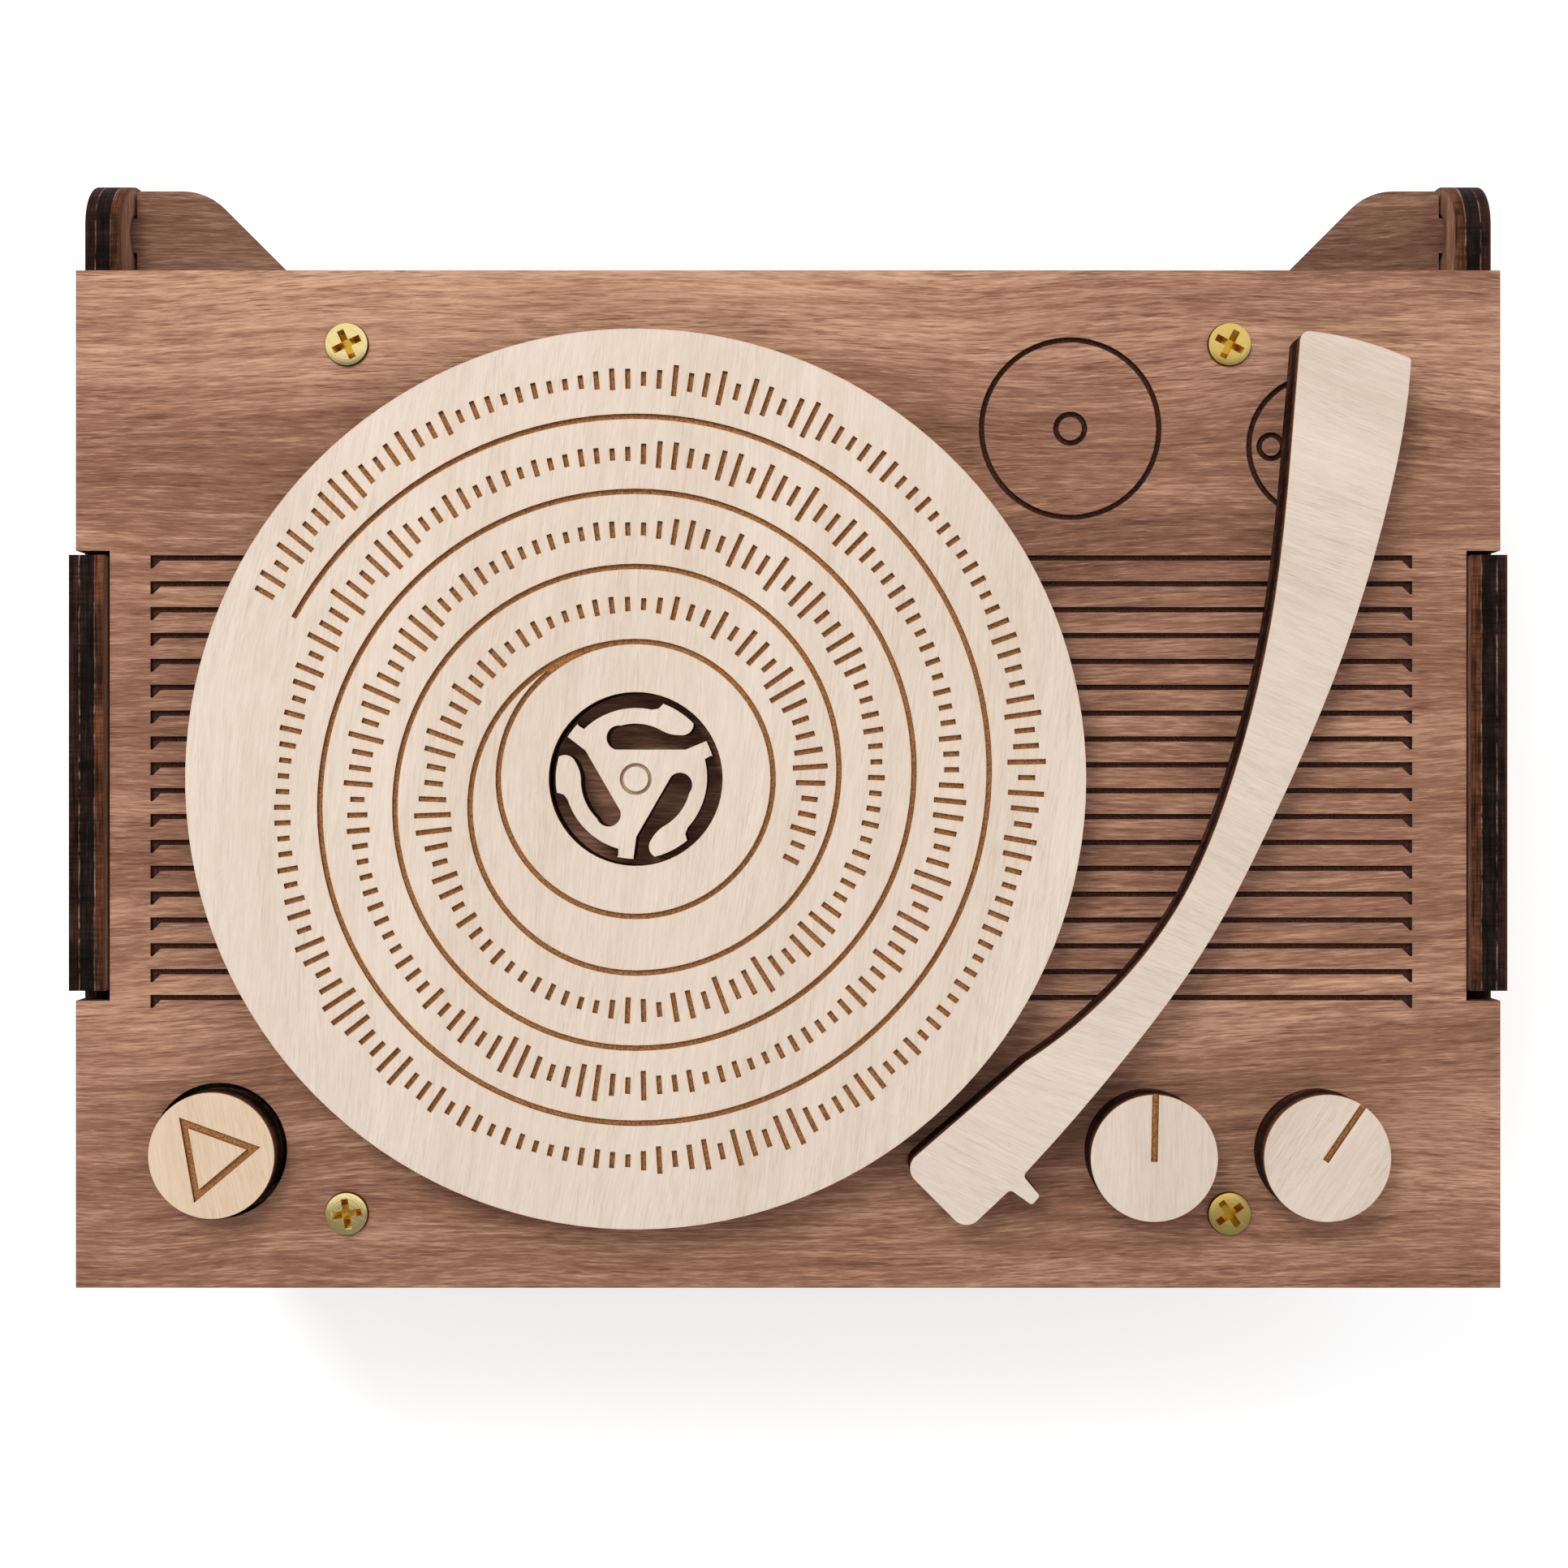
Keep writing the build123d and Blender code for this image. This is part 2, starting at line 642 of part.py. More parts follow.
# Two knobs, each with its pointer line, turn on a screw driven up through the deck.
for side, turn in knob_turns.items():
    with BuildPart() as knob:
        with BuildSketch(Plane((knob_x[side], control_y, top_seat))):
            Circle(knob_radius)
        extrude(amount=ply)
        with BuildSketch(Plane((knob_x[side], control_y, top_face)).rotated((0, 0, turn))):
            with Locations((0, knob_radius / 2)):
                Rectangle(pointer_width, knob_radius + 2 * pointer_overrun)
        extrude(amount=-score_depth, mode=Mode.SUBTRACT)
        with Locations((knob_x[side], control_y, top_seat)):
            Cylinder(
                pivot_shank_radius,
                pivot_bite,
                align=(Align.CENTER, Align.CENTER, Align.MIN),
                mode=Mode.SUBTRACT,
            )
    knob.part.label = f"{side}_knob"
    export_step(knob.part, f"parts/{side}_knob.step")

pivot_head_top = deck_under - seat_gap
for name, (x, y) in zip(("left_knob", "right_knob", "tonearm"), pivot_spots):
    with BuildPart() as pivot_screw:
        with BuildSketch(Plane((x, y, pivot_head_top))):
            Circle(pivot_head_radius)
        extrude(amount=-pivot_head_height)
        fillet(pivot_screw.faces().sort_by(Axis.Z)[0].edges(), pivot_head_height * 0.35)
        with BuildSketch(Plane((x, y, pivot_head_top))):
            Circle(pivot_shank_radius)
        extrude(amount=top_seat + pivot_bite - pivot_head_top)
        with Locations((x, y, pivot_head_top - pivot_head_height)):
            Box(pivot_cross_length, cross_width, cross_depth, mode=Mode.SUBTRACT)
            Box(cross_width, pivot_cross_length, cross_depth, mode=Mode.SUBTRACT)
    pivot_screw.part.label = f"{name}_screw"
    export_step(pivot_screw.part, f"parts/{name}_screw.step")

# ================================================================ sound module in the lid
board_left = -lid_x + rail_width + board_gap
board_front = rail_front + board_gap
board_right = board_left + board_size[0]
board_back = board_front + board_size[1]
with BuildPart() as sound_board:
    with BuildSketch(Plane.XY.offset(frame_under)):
        with Locations(((board_left + board_right) / 2, (board_front + board_back) / 2)):
            Rectangle(board_size[0], board_size[1])
    extrude(amount=board_size[2])
sound_board.part.label = "sound_board"
export_step(sound_board.part, "parts/sound_board.step")

with BuildPart() as button_switch:
    with BuildSketch(Plane((button_x, control_y, board_top))):
        Rectangle(switch_size[0], switch_size[1])
    extrude(amount=switch_size[2])
    with BuildSketch(Plane((button_x, control_y, switch_top))):
        Circle(stem_radius + stem_running_fit)
    extrude(amount=-switch_bore_depth, mode=Mode.SUBTRACT)
button_switch.part.label = "button_switch"
export_step(button_switch.part, "parts/button_switch.step")

chip_x = board_right - board_size[0] / 4
chip_y = board_back - board_size[1] / 2
with BuildPart() as sound_chip:
    with BuildSketch(Plane((chip_x, chip_y, board_top))):
        Rectangle(chip_size[0], chip_size[1])
    extrude(amount=chip_size[2])
sound_chip.part.label = "sound_chip"
export_step(sound_chip.part, "parts/sound_chip.step")

cell_front = board_back + cell_gap
with BuildPart() as pouch_cell:
    with BuildSketch(Plane((board_left + cell_size[0] / 2, cell_front + cell_size[1] / 2, frame_under))):
        Rectangle(cell_size[0], cell_size[1])
    extrude(amount=cell_size[2])
    fillet(pouch_cell.edges().filter_by(Axis.Y), cell_size[2] * 0.4)
pouch_cell.part.label = "pouch_cell"
export_step(pouch_cell.part, "parts/pouch_cell.step")

# A slim speaker lies face down over the sound holes: a rim with a closed back, its cone and magnet.
cone_outer = speaker_radius - speaker_rim
with BuildPart() as speaker_shell:
    with BuildSketch(Plane((speaker_x, deck_y, frame_under))):
        Circle(speaker_radius)
    extrude(amount=speaker_height)
    with BuildSketch(Plane((speaker_x, deck_y, frame_under))):
        Circle(cone_outer)
    extrude(amount=speaker_height - speaker_sheet, mode=Mode.SUBTRACT)
speaker_shell.part.label = "speaker_shell"
export_step(speaker_shell.part, "parts/speaker_shell.step")

cone_lift = speaker_height - 3 * speaker_sheet
with BuildPart() as speaker_cone:
    with BuildSketch(Plane.XZ.offset(-deck_y)):
        with BuildLine():
            Polyline(
                (speaker_x, frame_under + cone_lift - speaker_sheet),
                (speaker_x + magnet_radius, frame_under + cone_lift - speaker_sheet),
                (speaker_x + cone_outer, frame_under + speaker_sheet),
                (speaker_x + cone_outer, frame_under + 2 * speaker_sheet),
                (speaker_x + magnet_radius, frame_under + cone_lift),
                (speaker_x, frame_under + cone_lift),
                close=True,
            )
        make_face()
    revolve(axis=Axis((speaker_x, deck_y, 0), (0, 0, 1)))
speaker_cone.part.label = "speaker_cone"
export_step(speaker_cone.part, "parts/speaker_cone.step")

with BuildPart() as speaker_magnet:
    with BuildSketch(Plane((speaker_x, deck_y, frame_under + cone_lift))):
        Circle(magnet_radius)
    extrude(amount=speaker_height - speaker_sheet - cone_lift)
speaker_magnet.part.label = "speaker_magnet"
export_step(speaker_magnet.part, "parts/speaker_magnet.step")


def lead_route(points):
    """A lead's middle line: straight runs joined by tangent arcs."""
    with BuildLine() as route:
        FilletPolyline(*points, radius=lead_spacing)
    return route.line


lead_z = board_top + lead_radius
lead_pad = board_back - 1.5 * lead_radius
cell_routes = []
speaker_routes = []
for number in range(2):
    start_x = board_left + cell_size[0] / 2 + (number - 0.5) * lead_spacing
    start_y = board_back - (3 - number) * lead_spacing
    reach_x = speaker_x + (0.5 - number) * lead_spacing * 2
    cell_routes.append(
        lead_route([
            (start_x, lead_pad, lead_z),
            (start_x, board_back + cell_gap * 0.3, lead_z),
            (start_x - lead_spacing, board_back + cell_gap * 0.6, lead_z),
            (start_x - lead_spacing, cell_front, lead_z),
        ])
    )
    speaker_routes.append(
        lead_route([
            (board_right - lead_spacing, start_y, lead_z),
            (reach_x, start_y, lead_z),
            (reach_x, deck_y - speaker_radius, lead_z),
        ])
    )
for name, routes in (("cell_leads", cell_routes), ("speaker_leads", speaker_routes)):
    with BuildPart() as leads:
        for route in routes:
            with BuildSketch(Plane(origin=route @ 0, z_dir=route % 0)):
                Circle(lead_radius)
            sweep(path=route)
    leads.part.label = name
    export_step(leads.part, f"parts/{name}.step")
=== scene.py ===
"""The looks of a wooden sound box dressed as a record player.

Every wooden piece is one laser-cut sheet of thin plywood, so one dark and one pale plywood
finish dress nearly the whole object: a grained face veneer, charred plies along each cut and
burnt floors in the engraving. Brass screws, zinc pivot screws and the sound module make up
the rest.
"""

import logging
import math
from abc import ABC, abstractmethod
from collections.abc import Mapping, Sequence
from dataclasses import dataclass, field, replace
from enum import Enum
from functools import cache
from typing import Any

import bmesh
import bpy
from mathutils import Matrix, Vector


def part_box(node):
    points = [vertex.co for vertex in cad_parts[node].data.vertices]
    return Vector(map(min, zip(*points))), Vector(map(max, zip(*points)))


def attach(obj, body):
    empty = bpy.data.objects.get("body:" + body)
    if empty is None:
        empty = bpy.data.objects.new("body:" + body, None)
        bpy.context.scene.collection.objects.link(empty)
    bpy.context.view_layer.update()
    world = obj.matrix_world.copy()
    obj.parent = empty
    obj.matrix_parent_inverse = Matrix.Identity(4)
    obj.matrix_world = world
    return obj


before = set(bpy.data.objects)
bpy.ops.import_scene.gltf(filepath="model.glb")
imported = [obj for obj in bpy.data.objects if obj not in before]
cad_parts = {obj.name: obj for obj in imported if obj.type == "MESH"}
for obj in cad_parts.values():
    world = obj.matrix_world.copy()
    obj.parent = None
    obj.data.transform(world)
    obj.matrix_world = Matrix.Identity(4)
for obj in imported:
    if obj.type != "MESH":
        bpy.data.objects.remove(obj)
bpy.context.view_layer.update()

logging.basicConfig(level=logging.INFO, format="%(name)s: %(message)s")
log = logging.getLogger("sound_box")

Colour = tuple[float, float, float]
Triple = tuple[float, float, float]
Range = tuple[float, float]
Block = tuple[Vector, Sequence[float], float]
Socket = bpy.types.NodeSocket

MM = 0.001
PER_METRE = 1000.0
SMUDGE_RANGE = (0.0, 1.2)
HALFWAY = (0.45, 0.55)
SEED_STEPS_MM = (37.0, 11.0, 5.0)


# ---------------------------------------------------------------- shader tools
class SocketKind(Enum):
    """Kinds of socket that a node group takes or gives."""

    VALUE = "NodeSocketFloat"
    COLOUR = "NodeSocketColor"
    VECTOR = "NodeSocketVector"


@dataclass(frozen=True)
class NoiseLayer:
    """Noise by its cells per millimetre on each axis, its finer layers, their strength and its start."""

    cells: Triple
    detail: float = 2.0
    roughness: float = 0.5
    start: Triple = (0.0, 0.0, 0.0)


class Graph:
    """A short hand for adding and joining the nodes of one tree."""

    def __init__(self, tree: bpy.types.NodeTree) -> None:
        """Keeps the tree.

        Args:
            tree: Node tree that every later call adds to.
        """
        self.tree = tree

    def add(self, kind: str, feeds: Mapping[Any, Any] | None = None, **settings: Any) -> bpy.types.Node:
        """Adds a node.

        Args:
            kind: Blender's name of the node type.
            feeds: Input name or number to a socket or a plain value.
            **settings: Node properties to set first.

        Returns:
            The new node.
        """
        node = self.tree.nodes.new(kind)
        for name, value in settings.items():
            setattr(node, name, value)
        for key, value in (feeds or {}).items():
            self.feed(node.inputs[key], value)
        return node

    def feed(self, socket: Socket, value: Any) -> None:
        """Links a socket to an input, or sets the input's plain value.

        Args:
            socket: Input to feed.
            value: Output socket, number, vector or colour.
        """
        if isinstance(value, Socket):
            self.tree.links.new(value, socket)
        elif socket.type == "RGBA":
            socket.default_value = (*value[:3], 1.0)
        else:
            socket.default_value = value

    def math(self, operation: str, first: Any, second: Any = 0.0, third: Any = 0.0) -> Socket:
        """Adds a Math node.

        Args:
            operation: Math operation.
            first: First value.
            second: Second value.
            third: Third value, for operations that take one.

        Returns:
            Its value.
        """
        node = self.add("ShaderNodeMath", operation=operation)
        for socket, value in zip(node.inputs, (first, second, third)):
            self.feed(socket, value)
        return node.outputs[0]

    def scaled(self, vector: Any, factors: Sequence[float]) -> Socket:
        """Multiplies a vector part by part.

        Args:
            vector: Vector to scale.
            factors: One factor for each axis.

        Returns:
            The scaled vector.
        """
        node = self.add("ShaderNodeVectorMath", {0: vector, 1: factors}, operation="MULTIPLY")
        return node.outputs[0]

    def shifted(self, vector: Any, shift: Any) -> Socket:
        """Adds a shift to a vector.

        Args:
            vector: Vector to move.
            shift: Vector to add.

        Returns:
            The moved vector.
        """
        node = self.add("ShaderNodeVectorMath", {0: vector, 1: shift}, operation="ADD")
        return node.outputs[0]

    def noise(self, place: Any, layer: NoiseLayer) -> Socket:
        """Samples a layer of noise.

        Args:
            place: Place in millimetres.
            layer: Layer to sample.

        Returns:
            Noise from 0 to 1, mostly near the middle.
        """
        vector = self.scaled(place, layer.cells)
        if any(layer.start):
            vector = self.shifted(vector, layer.start)
        feeds = {"Vector": vector, "Scale": 1.0, "Detail": layer.detail, "Roughness": layer.roughness}
        return self.add("ShaderNodeTexNoise", feeds).outputs["Fac"]

    def span(self, value: Any, low: float, high: float, to: Range = (0.0, 1.0)) -> Socket:
        """Maps a range smoothly onto another and holds the ends.

        Args:
            value: Value to map.
            low: Value that maps to the first end.
            high: Value that maps to the second end.
            to: Both ends of the result.

        Returns:
            The mapped value.
        """
        feeds = {"Value": value, 1: low, 2: high, 3: to[0], 4: to[1]}
        return self.add("ShaderNodeMapRange", feeds, interpolation_type="SMOOTHSTEP").outputs[0]

    def mix(self, share: Any, first: Any, second: Any, blend: str = "MIX") -> Socket:
        """Mixes two colours.

        Args:
            share: How much of the second colour shows.
            first: First colour.
            second: Second colour.
            blend: Blend mode.

        Returns:
            The mixed colour.
        """
        node = self.add("ShaderNodeMix", data_type="RGBA", blend_type=blend)
        self.feed(node.inputs[0], share)
        self.feed(node.inputs[6], first)
        self.feed(node.inputs[7], second)
        return node.outputs[2]

    def parts(self, vector: Any) -> tuple[Socket, Socket, Socket]:
        """Splits a vector.

        Args:
            vector: Vector to split.

        Returns:
            Its three parts.
        """
        node = self.add("ShaderNodeSeparateXYZ", {0: vector})
        return node.outputs[0], node.outputs[1], node.outputs[2]

    def place(self, group: bpy.types.NodeTree, feeds: Mapping[str, Any]) -> bpy.types.Node:
        """Places a node group.

        Args:
            group: Group to place.
            feeds: Input name to a socket or a plain value.

        Returns:
            The group's node.
        """
        node = self.add("ShaderNodeGroup", node_tree=group)
        for name, value in feeds.items():
            self.feed(node.inputs[name], value)
        return node


def new_group(
    name: str, takes: Mapping[str, SocketKind], gives: Mapping[str, SocketKind]
) -> tuple[Graph, bpy.types.Node, bpy.types.Node]:
    """Starts a shader node group.

    Args:
        name: Name of the group.
        takes: Input names and kinds.
        gives: Output names and kinds.

    Returns:
        The group's graph, its input node and its output node.
    """
    tree = bpy.data.node_groups.new(name, "ShaderNodeTree")
    for label, kind in takes.items():
        tree.interface.new_socket(label, in_out="INPUT", socket_type=kind.value)
    for label, kind in gives.items():
        tree.interface.new_socket(label, in_out="OUTPUT", socket_type=kind.value)
    graph = Graph(tree)
    return graph, graph.add("NodeGroupInput"), graph.add("NodeGroupOutput")


@dataclass(frozen=True)
class VeneerPattern:
    """Noise layers of the face veneer, and the ranges that cut pores and flecks out of them."""

    wave: NoiseLayer = NoiseLayer((0.022, 0.05, 0.05), 1.0)
    wave_mm: float = 6.0
    bands: NoiseLayer = NoiseLayer((0.013, 0.12, 0.2), 4.0, 0.55)
    streaks: NoiseLayer = NoiseLayer((0.075, 1.15, 1.15), 3.0, 0.62)
    fibres: NoiseLayer = NoiseLayer((0.4, 5.8, 5.8), 3.0, 0.7)
    crowds: NoiseLayer = NoiseLayer((0.05, 0.3, 0.3))
    crowd_range: Range = (0.4, 0.62)
    pores: NoiseLayer = NoiseLayer((0.34, 5.4, 5.4), 2.0, 0.55)
    pore_range: Range = (0.56, 0.68)
    pore_depth: float = 0.6
    flecks: NoiseLayer = NoiseLayer((0.42, 6.0, 6.0), start=(31.0, 7.0, 3.0))
    fleck_range: Range = (0.63, 0.72)


@cache
def veneer_group() -> bpy.types.NodeTree:
    """Builds the face veneer: tone bands, fibre streaks, dark pores and pale flecks.

    Returns:
        Group that takes a place in millimetres with the grain along X.
    """
    pattern = VeneerPattern()
    value, colour = SocketKind.VALUE, SocketKind.COLOUR
    takes = {"Vector": SocketKind.VECTOR} | dict.fromkeys(("Body", "Dark", "Pale", "Fleck"), colour)
    takes |= dict.fromkeys(("Lift", "Bands", "Streaks", "Fibres", "Pores", "Flecks"), value)
    graph, given, out = new_group("veneer", takes, {"Color": colour, "Height": value})
    wave = graph.noise(given.outputs["Vector"], pattern.wave)
    sideways = graph.math("MULTIPLY", wave, pattern.wave_mm)
    bend = graph.add("ShaderNodeCombineXYZ", {1: sideways}).outputs[0]
    place = graph.shifted(given.outputs["Vector"], bend)
    fibres = graph.noise(place, pattern.fibres)
    bands, streaks = (graph.noise(place, layer) for layer in (pattern.bands, pattern.streaks))
    tone: Any = graph.math("ADD", given.outputs["Lift"], 0.5)
    for layer, share in ((bands, "Bands"), (streaks, "Streaks"), (fibres, "Fibres")):
        centred = graph.math("SUBTRACT", layer, 0.5)
        tone = graph.math("MULTIPLY_ADD", centred, given.outputs[share], tone)
    below = graph.math("MULTIPLY", tone, 2.0)
    above = graph.math("MULTIPLY_ADD", tone, 2.0, -1.0)
    for socket in (below, above):
        socket.node.use_clamp = True
    low = graph.mix(below, given.outputs["Dark"], given.outputs["Body"])
    toned = graph.mix(above, low, given.outputs["Pale"])
    crowd = graph.span(graph.noise(place, pattern.crowds), *pattern.crowd_range)
    pores = graph.span(graph.noise(place, pattern.pores), *pattern.pore_range)
    pores = graph.math("MULTIPLY", pores, crowd)
    flecks = graph.span(graph.noise(place, pattern.flecks), *pattern.fleck_range)
    pore_share = graph.math("MULTIPLY", pores, given.outputs["Pores"])
    pored = graph.mix(pore_share, toned, given.outputs["Dark"])
    fleck_share = graph.math("MULTIPLY", flecks, given.outputs["Flecks"])
    graph.feed(out.inputs["Color"], graph.mix(fleck_share, pored, given.outputs["Fleck"]))
    graph.feed(out.inputs["Height"], graph.math("MULTIPLY_ADD", pores, -pattern.pore_depth, fibres))
    return graph.tree


@dataclass(frozen=True)
class EdgePattern:
    """Plies, glue lines and scorch of a laser-cut edge. Depths are shares of the sheet's thickness."""

    wander: NoiseLayer = NoiseLayer((0.5, 0.5, 0.5))
    wander_share: float = 0.07
    core_half: Range = (0.19, 0.215)
    glue_from_middle: float = 0.21
    glue_half: Range = (0.008, 0.026)
    patches: NoiseLayer = NoiseLayer((0.9, 0.9, 0.3))
    patch_range: Range = (0.38, 0.6)
    striae: NoiseLayer = NoiseLayer((3.6, 3.6, 0.3), 2.0, 0.6)
    striae_shading: tuple[Range, Range] = ((0.3, 0.7), (0.7, 1.3))
    threads: NoiseLayer = NoiseLayer((0.22, 0.22, 6.5), 3.0, 0.6)
    thread_shading: tuple[Range, Range] = ((0.32, 0.68), (0.5, 1.6))
    soot: NoiseLayer = NoiseLayer((0.3, 0.3, 0.5), 3.0, 0.6)
    soot_shading: tuple[Range, Range] = ((0.34, 0.66), (0.55, 1.5))


@cache
def cut_edge_group() -> bpy.types.NodeTree:
    """Builds the laser-cut edge: three charred plies with glue lines and scorch striations.

    Returns:
        Group that takes a place in millimetres and the depth through the sheet from 0 to 1.
    """
    pattern = EdgePattern()
    value, colour = SocketKind.VALUE, SocketKind.COLOUR
    takes = {"Vector": SocketKind.VECTOR, "Depth": value}
    takes |= dict.fromkeys(("Lower", "Core", "Upper", "Glue"), colour)
    graph, given, out = new_group("cut_edge", takes, {"Color": colour, "Height": value})
    place = given.outputs["Vector"]
    wander = graph.math("SUBTRACT", graph.noise(place, pattern.wander), 0.5)
    depth = graph.math("MULTIPLY_ADD", wander, pattern.wander_share, given.outputs["Depth"])
    from_middle = graph.math("ABSOLUTE", graph.math("SUBTRACT", depth, 0.5))
    outer = graph.mix(graph.span(depth, *HALFWAY), given.outputs["Lower"], given.outputs["Upper"])
    plies = graph.mix(graph.span(from_middle, *pattern.core_half), given.outputs["Core"], outer)
    off_glue = graph.math("ABSOLUTE", graph.math("SUBTRACT", from_middle, pattern.glue_from_middle))
    patches = graph.span(graph.noise(place, pattern.patches), *pattern.patch_range)
    glue = graph.math("MULTIPLY", graph.span(off_glue, *pattern.glue_half, (1.0, 0.0)), patches)
    glued = graph.mix(glue, plies, given.outputs["Glue"])
    striae = graph.noise(place, pattern.striae)
    light = graph.span(striae, *pattern.striae_shading[0], pattern.striae_shading[1])
    for layer, (levels, shades) in (
        (pattern.threads, pattern.thread_shading), (pattern.soot, pattern.soot_shading),
    ):
        light = graph.math("MULTIPLY", light, graph.span(graph.noise(place, layer), *levels, shades))
    lit = graph.add("ShaderNodeCombineColor", {0: light, 1: light, 2: light}).outputs[0]
    graph.feed(out.inputs["Color"], graph.mix(1.0, glued, lit, "MULTIPLY"))
    graph.feed(out.inputs["Height"], striae)
    return graph.tree


@dataclass(frozen=True)
class MarkPattern:
    """How deep an engraved floor begins, and the crumbs of char on it."""

    starts_mm: Range = (0.08, 0.14)
    crumbs: NoiseLayer = NoiseLayer((5.5, 5.5, 5.5), 3.0, 0.65)
    crumb_range: Range = (0.32, 0.68)


@cache
def burnt_mark_group() -> bpy.types.NodeTree:
    """Builds the burnt floor of an engraved line.

    Returns:
        Group that takes a place and how far it lies below the face, both in millimetres.
    """
    pattern = MarkPattern()
    value, colour = SocketKind.VALUE, SocketKind.COLOUR
    takes = {"Vector": SocketKind.VECTOR, "Below": value, "Burn": colour, "Ash": colour}
    graph, given, out = new_group("burnt_mark", takes, {"Mask": value, "Color": colour})
    crumbs = graph.noise(given.outputs["Vector"], pattern.crumbs)
    graph.feed(out.inputs["Mask"], graph.span(given.outputs["Below"], *pattern.starts_mm))
    spread = graph.span(crumbs, *pattern.crumb_range)
    graph.feed(out.inputs["Color"], graph.mix(spread, given.outputs["Burn"], given.outputs["Ash"]))
    return graph.tree


@dataclass(frozen=True)
class HandlingPattern:
    """Noise layers of smudges and scratches."""

    broad: NoiseLayer = NoiseLayer((0.09, 0.07, 0.08), 3.0)
    broad_range: Range = (0.35, 0.7)
    fine: NoiseLayer = NoiseLayer((2.3, 2.7, 2.5))
    fine_share: float = 0.35
    hairs: NoiseLayer = NoiseLayer((0.35, 14.0, 5.0), 1.0)
    hair_turn: float = 0.6
    hair_range: Range = (0.66, 0.72)


@cache
def handling_group() -> bpy.types.NodeTree:
    """Builds the traces of handling: finger smudges and hair-fine scratches.

    Returns:
        Group that takes a place in millimetres.
    """
    pattern = HandlingPattern()
    value = SocketKind.VALUE
    takes, gives = {"Vector": SocketKind.VECTOR}, {"Smudge": value, "Scratch": value}
    graph, given, out = new_group("handling", takes, gives)
    place = given.outputs["Vector"]
    broad = graph.span(graph.noise(place, pattern.broad), *pattern.broad_range)
    fine = graph.noise(place, pattern.fine)
    turn = {"Vector": place, "Angle": pattern.hair_turn}
    turned = graph.add("ShaderNodeVectorRotate", turn, rotation_type="Z_AXIS").outputs[0]
    hairs = graph.noise(turned, pattern.hairs)
    graph.feed(out.inputs["Smudge"], graph.math("MULTIPLY_ADD", fine, pattern.fine_share, broad))
    graph.feed(out.inputs["Scratch"], graph.span(hairs, *pattern.hair_range))
    return graph.tree


@dataclass
class Surface:
    """One material under way: its graph, its shader and the place in millimetres."""

    name: str
    material: bpy.types.Material = field(init=False)
    graph: Graph = field(init=False)
    shader: bpy.types.Node = field(init=False)
    coordinates: bpy.types.Node = field(init=False)
    place: Socket = field(init=False)

    def __post_init__(self) -> None:
        """Starts the material with one plain shader."""
        self.material = bpy.data.materials.new(self.name)
        self.material.use_nodes = True
        self.graph = Graph(self.material.node_tree)
        self.shader = self.material.node_tree.nodes["Principled BSDF"]
        self.coordinates = self.graph.add("ShaderNodeTexCoord")
        self.place = self.graph.scaled(self.coordinates.outputs["Object"], (PER_METRE,) * 3)

    def set(self, **values: Any) -> None:
        """Feeds shader inputs, with underscores for the spaces in their names.

        Args:
            **values: Input name to a socket or a plain value.
        """
        for name, value in values.items():
            self.graph.feed(self.shader.inputs[name.replace("_", " ")], value)

    def bump(self, height: Any, depth_mm: float) -> None:
        """Gives the surface relief.

        Args:
            height: Height from 0 to 1.
            depth_mm: What a height of 1 stands for.
        """
        feeds = {"Height": height, "Distance": depth_mm * MM, "Strength": 1.0}
        self.set(Normal=self.graph.add("ShaderNodeBump", feeds).outputs[0])

    def dress(self, piece: bpy.types.Object) -> None:
        """Puts the material on a piece as its only one.

        Args:
            piece: Mesh object to dress.
        """
        piece.data.materials.clear()
        piece.data.materials.append(self.material)


# ---------------------------------------------------------------- plywood
class PlyAxis(Enum):
    """The axis through a sheet's plies. Each value lists the two axes of its plane, then that axis."""

    X = (1, 2, 0)
    Y = (0, 2, 1)
    Z = (0, 1, 2)


@dataclass(frozen=True)
class LightBand:
    """A wavy band of lighter sapwood that runs along a sheet and fades towards both ends."""

    across_mm: float
    reach_mm: float
    strength: float
    along_mm: float
    half_length_mm: float
    wave: NoiseLayer = NoiseLayer((0.03, 0.05, 0.05), 3.0)
    wave_mm: float = 14.0


@dataclass(frozen=True)
class PlySheet:
    """How one wooden node was laid on its sheet."""

    node: str
    axis: PlyAxis = PlyAxis.Z
    grain_deg: float = 0.0
    seed: float = 0.0
    shade: float = 1.0
    mark_strength: float = 1.0
    scorch_mm: float = 0.22
    scorch_share: float = 0.55
    outer_high: bool = False
    light_bands: tuple[LightBand, ...] = ()


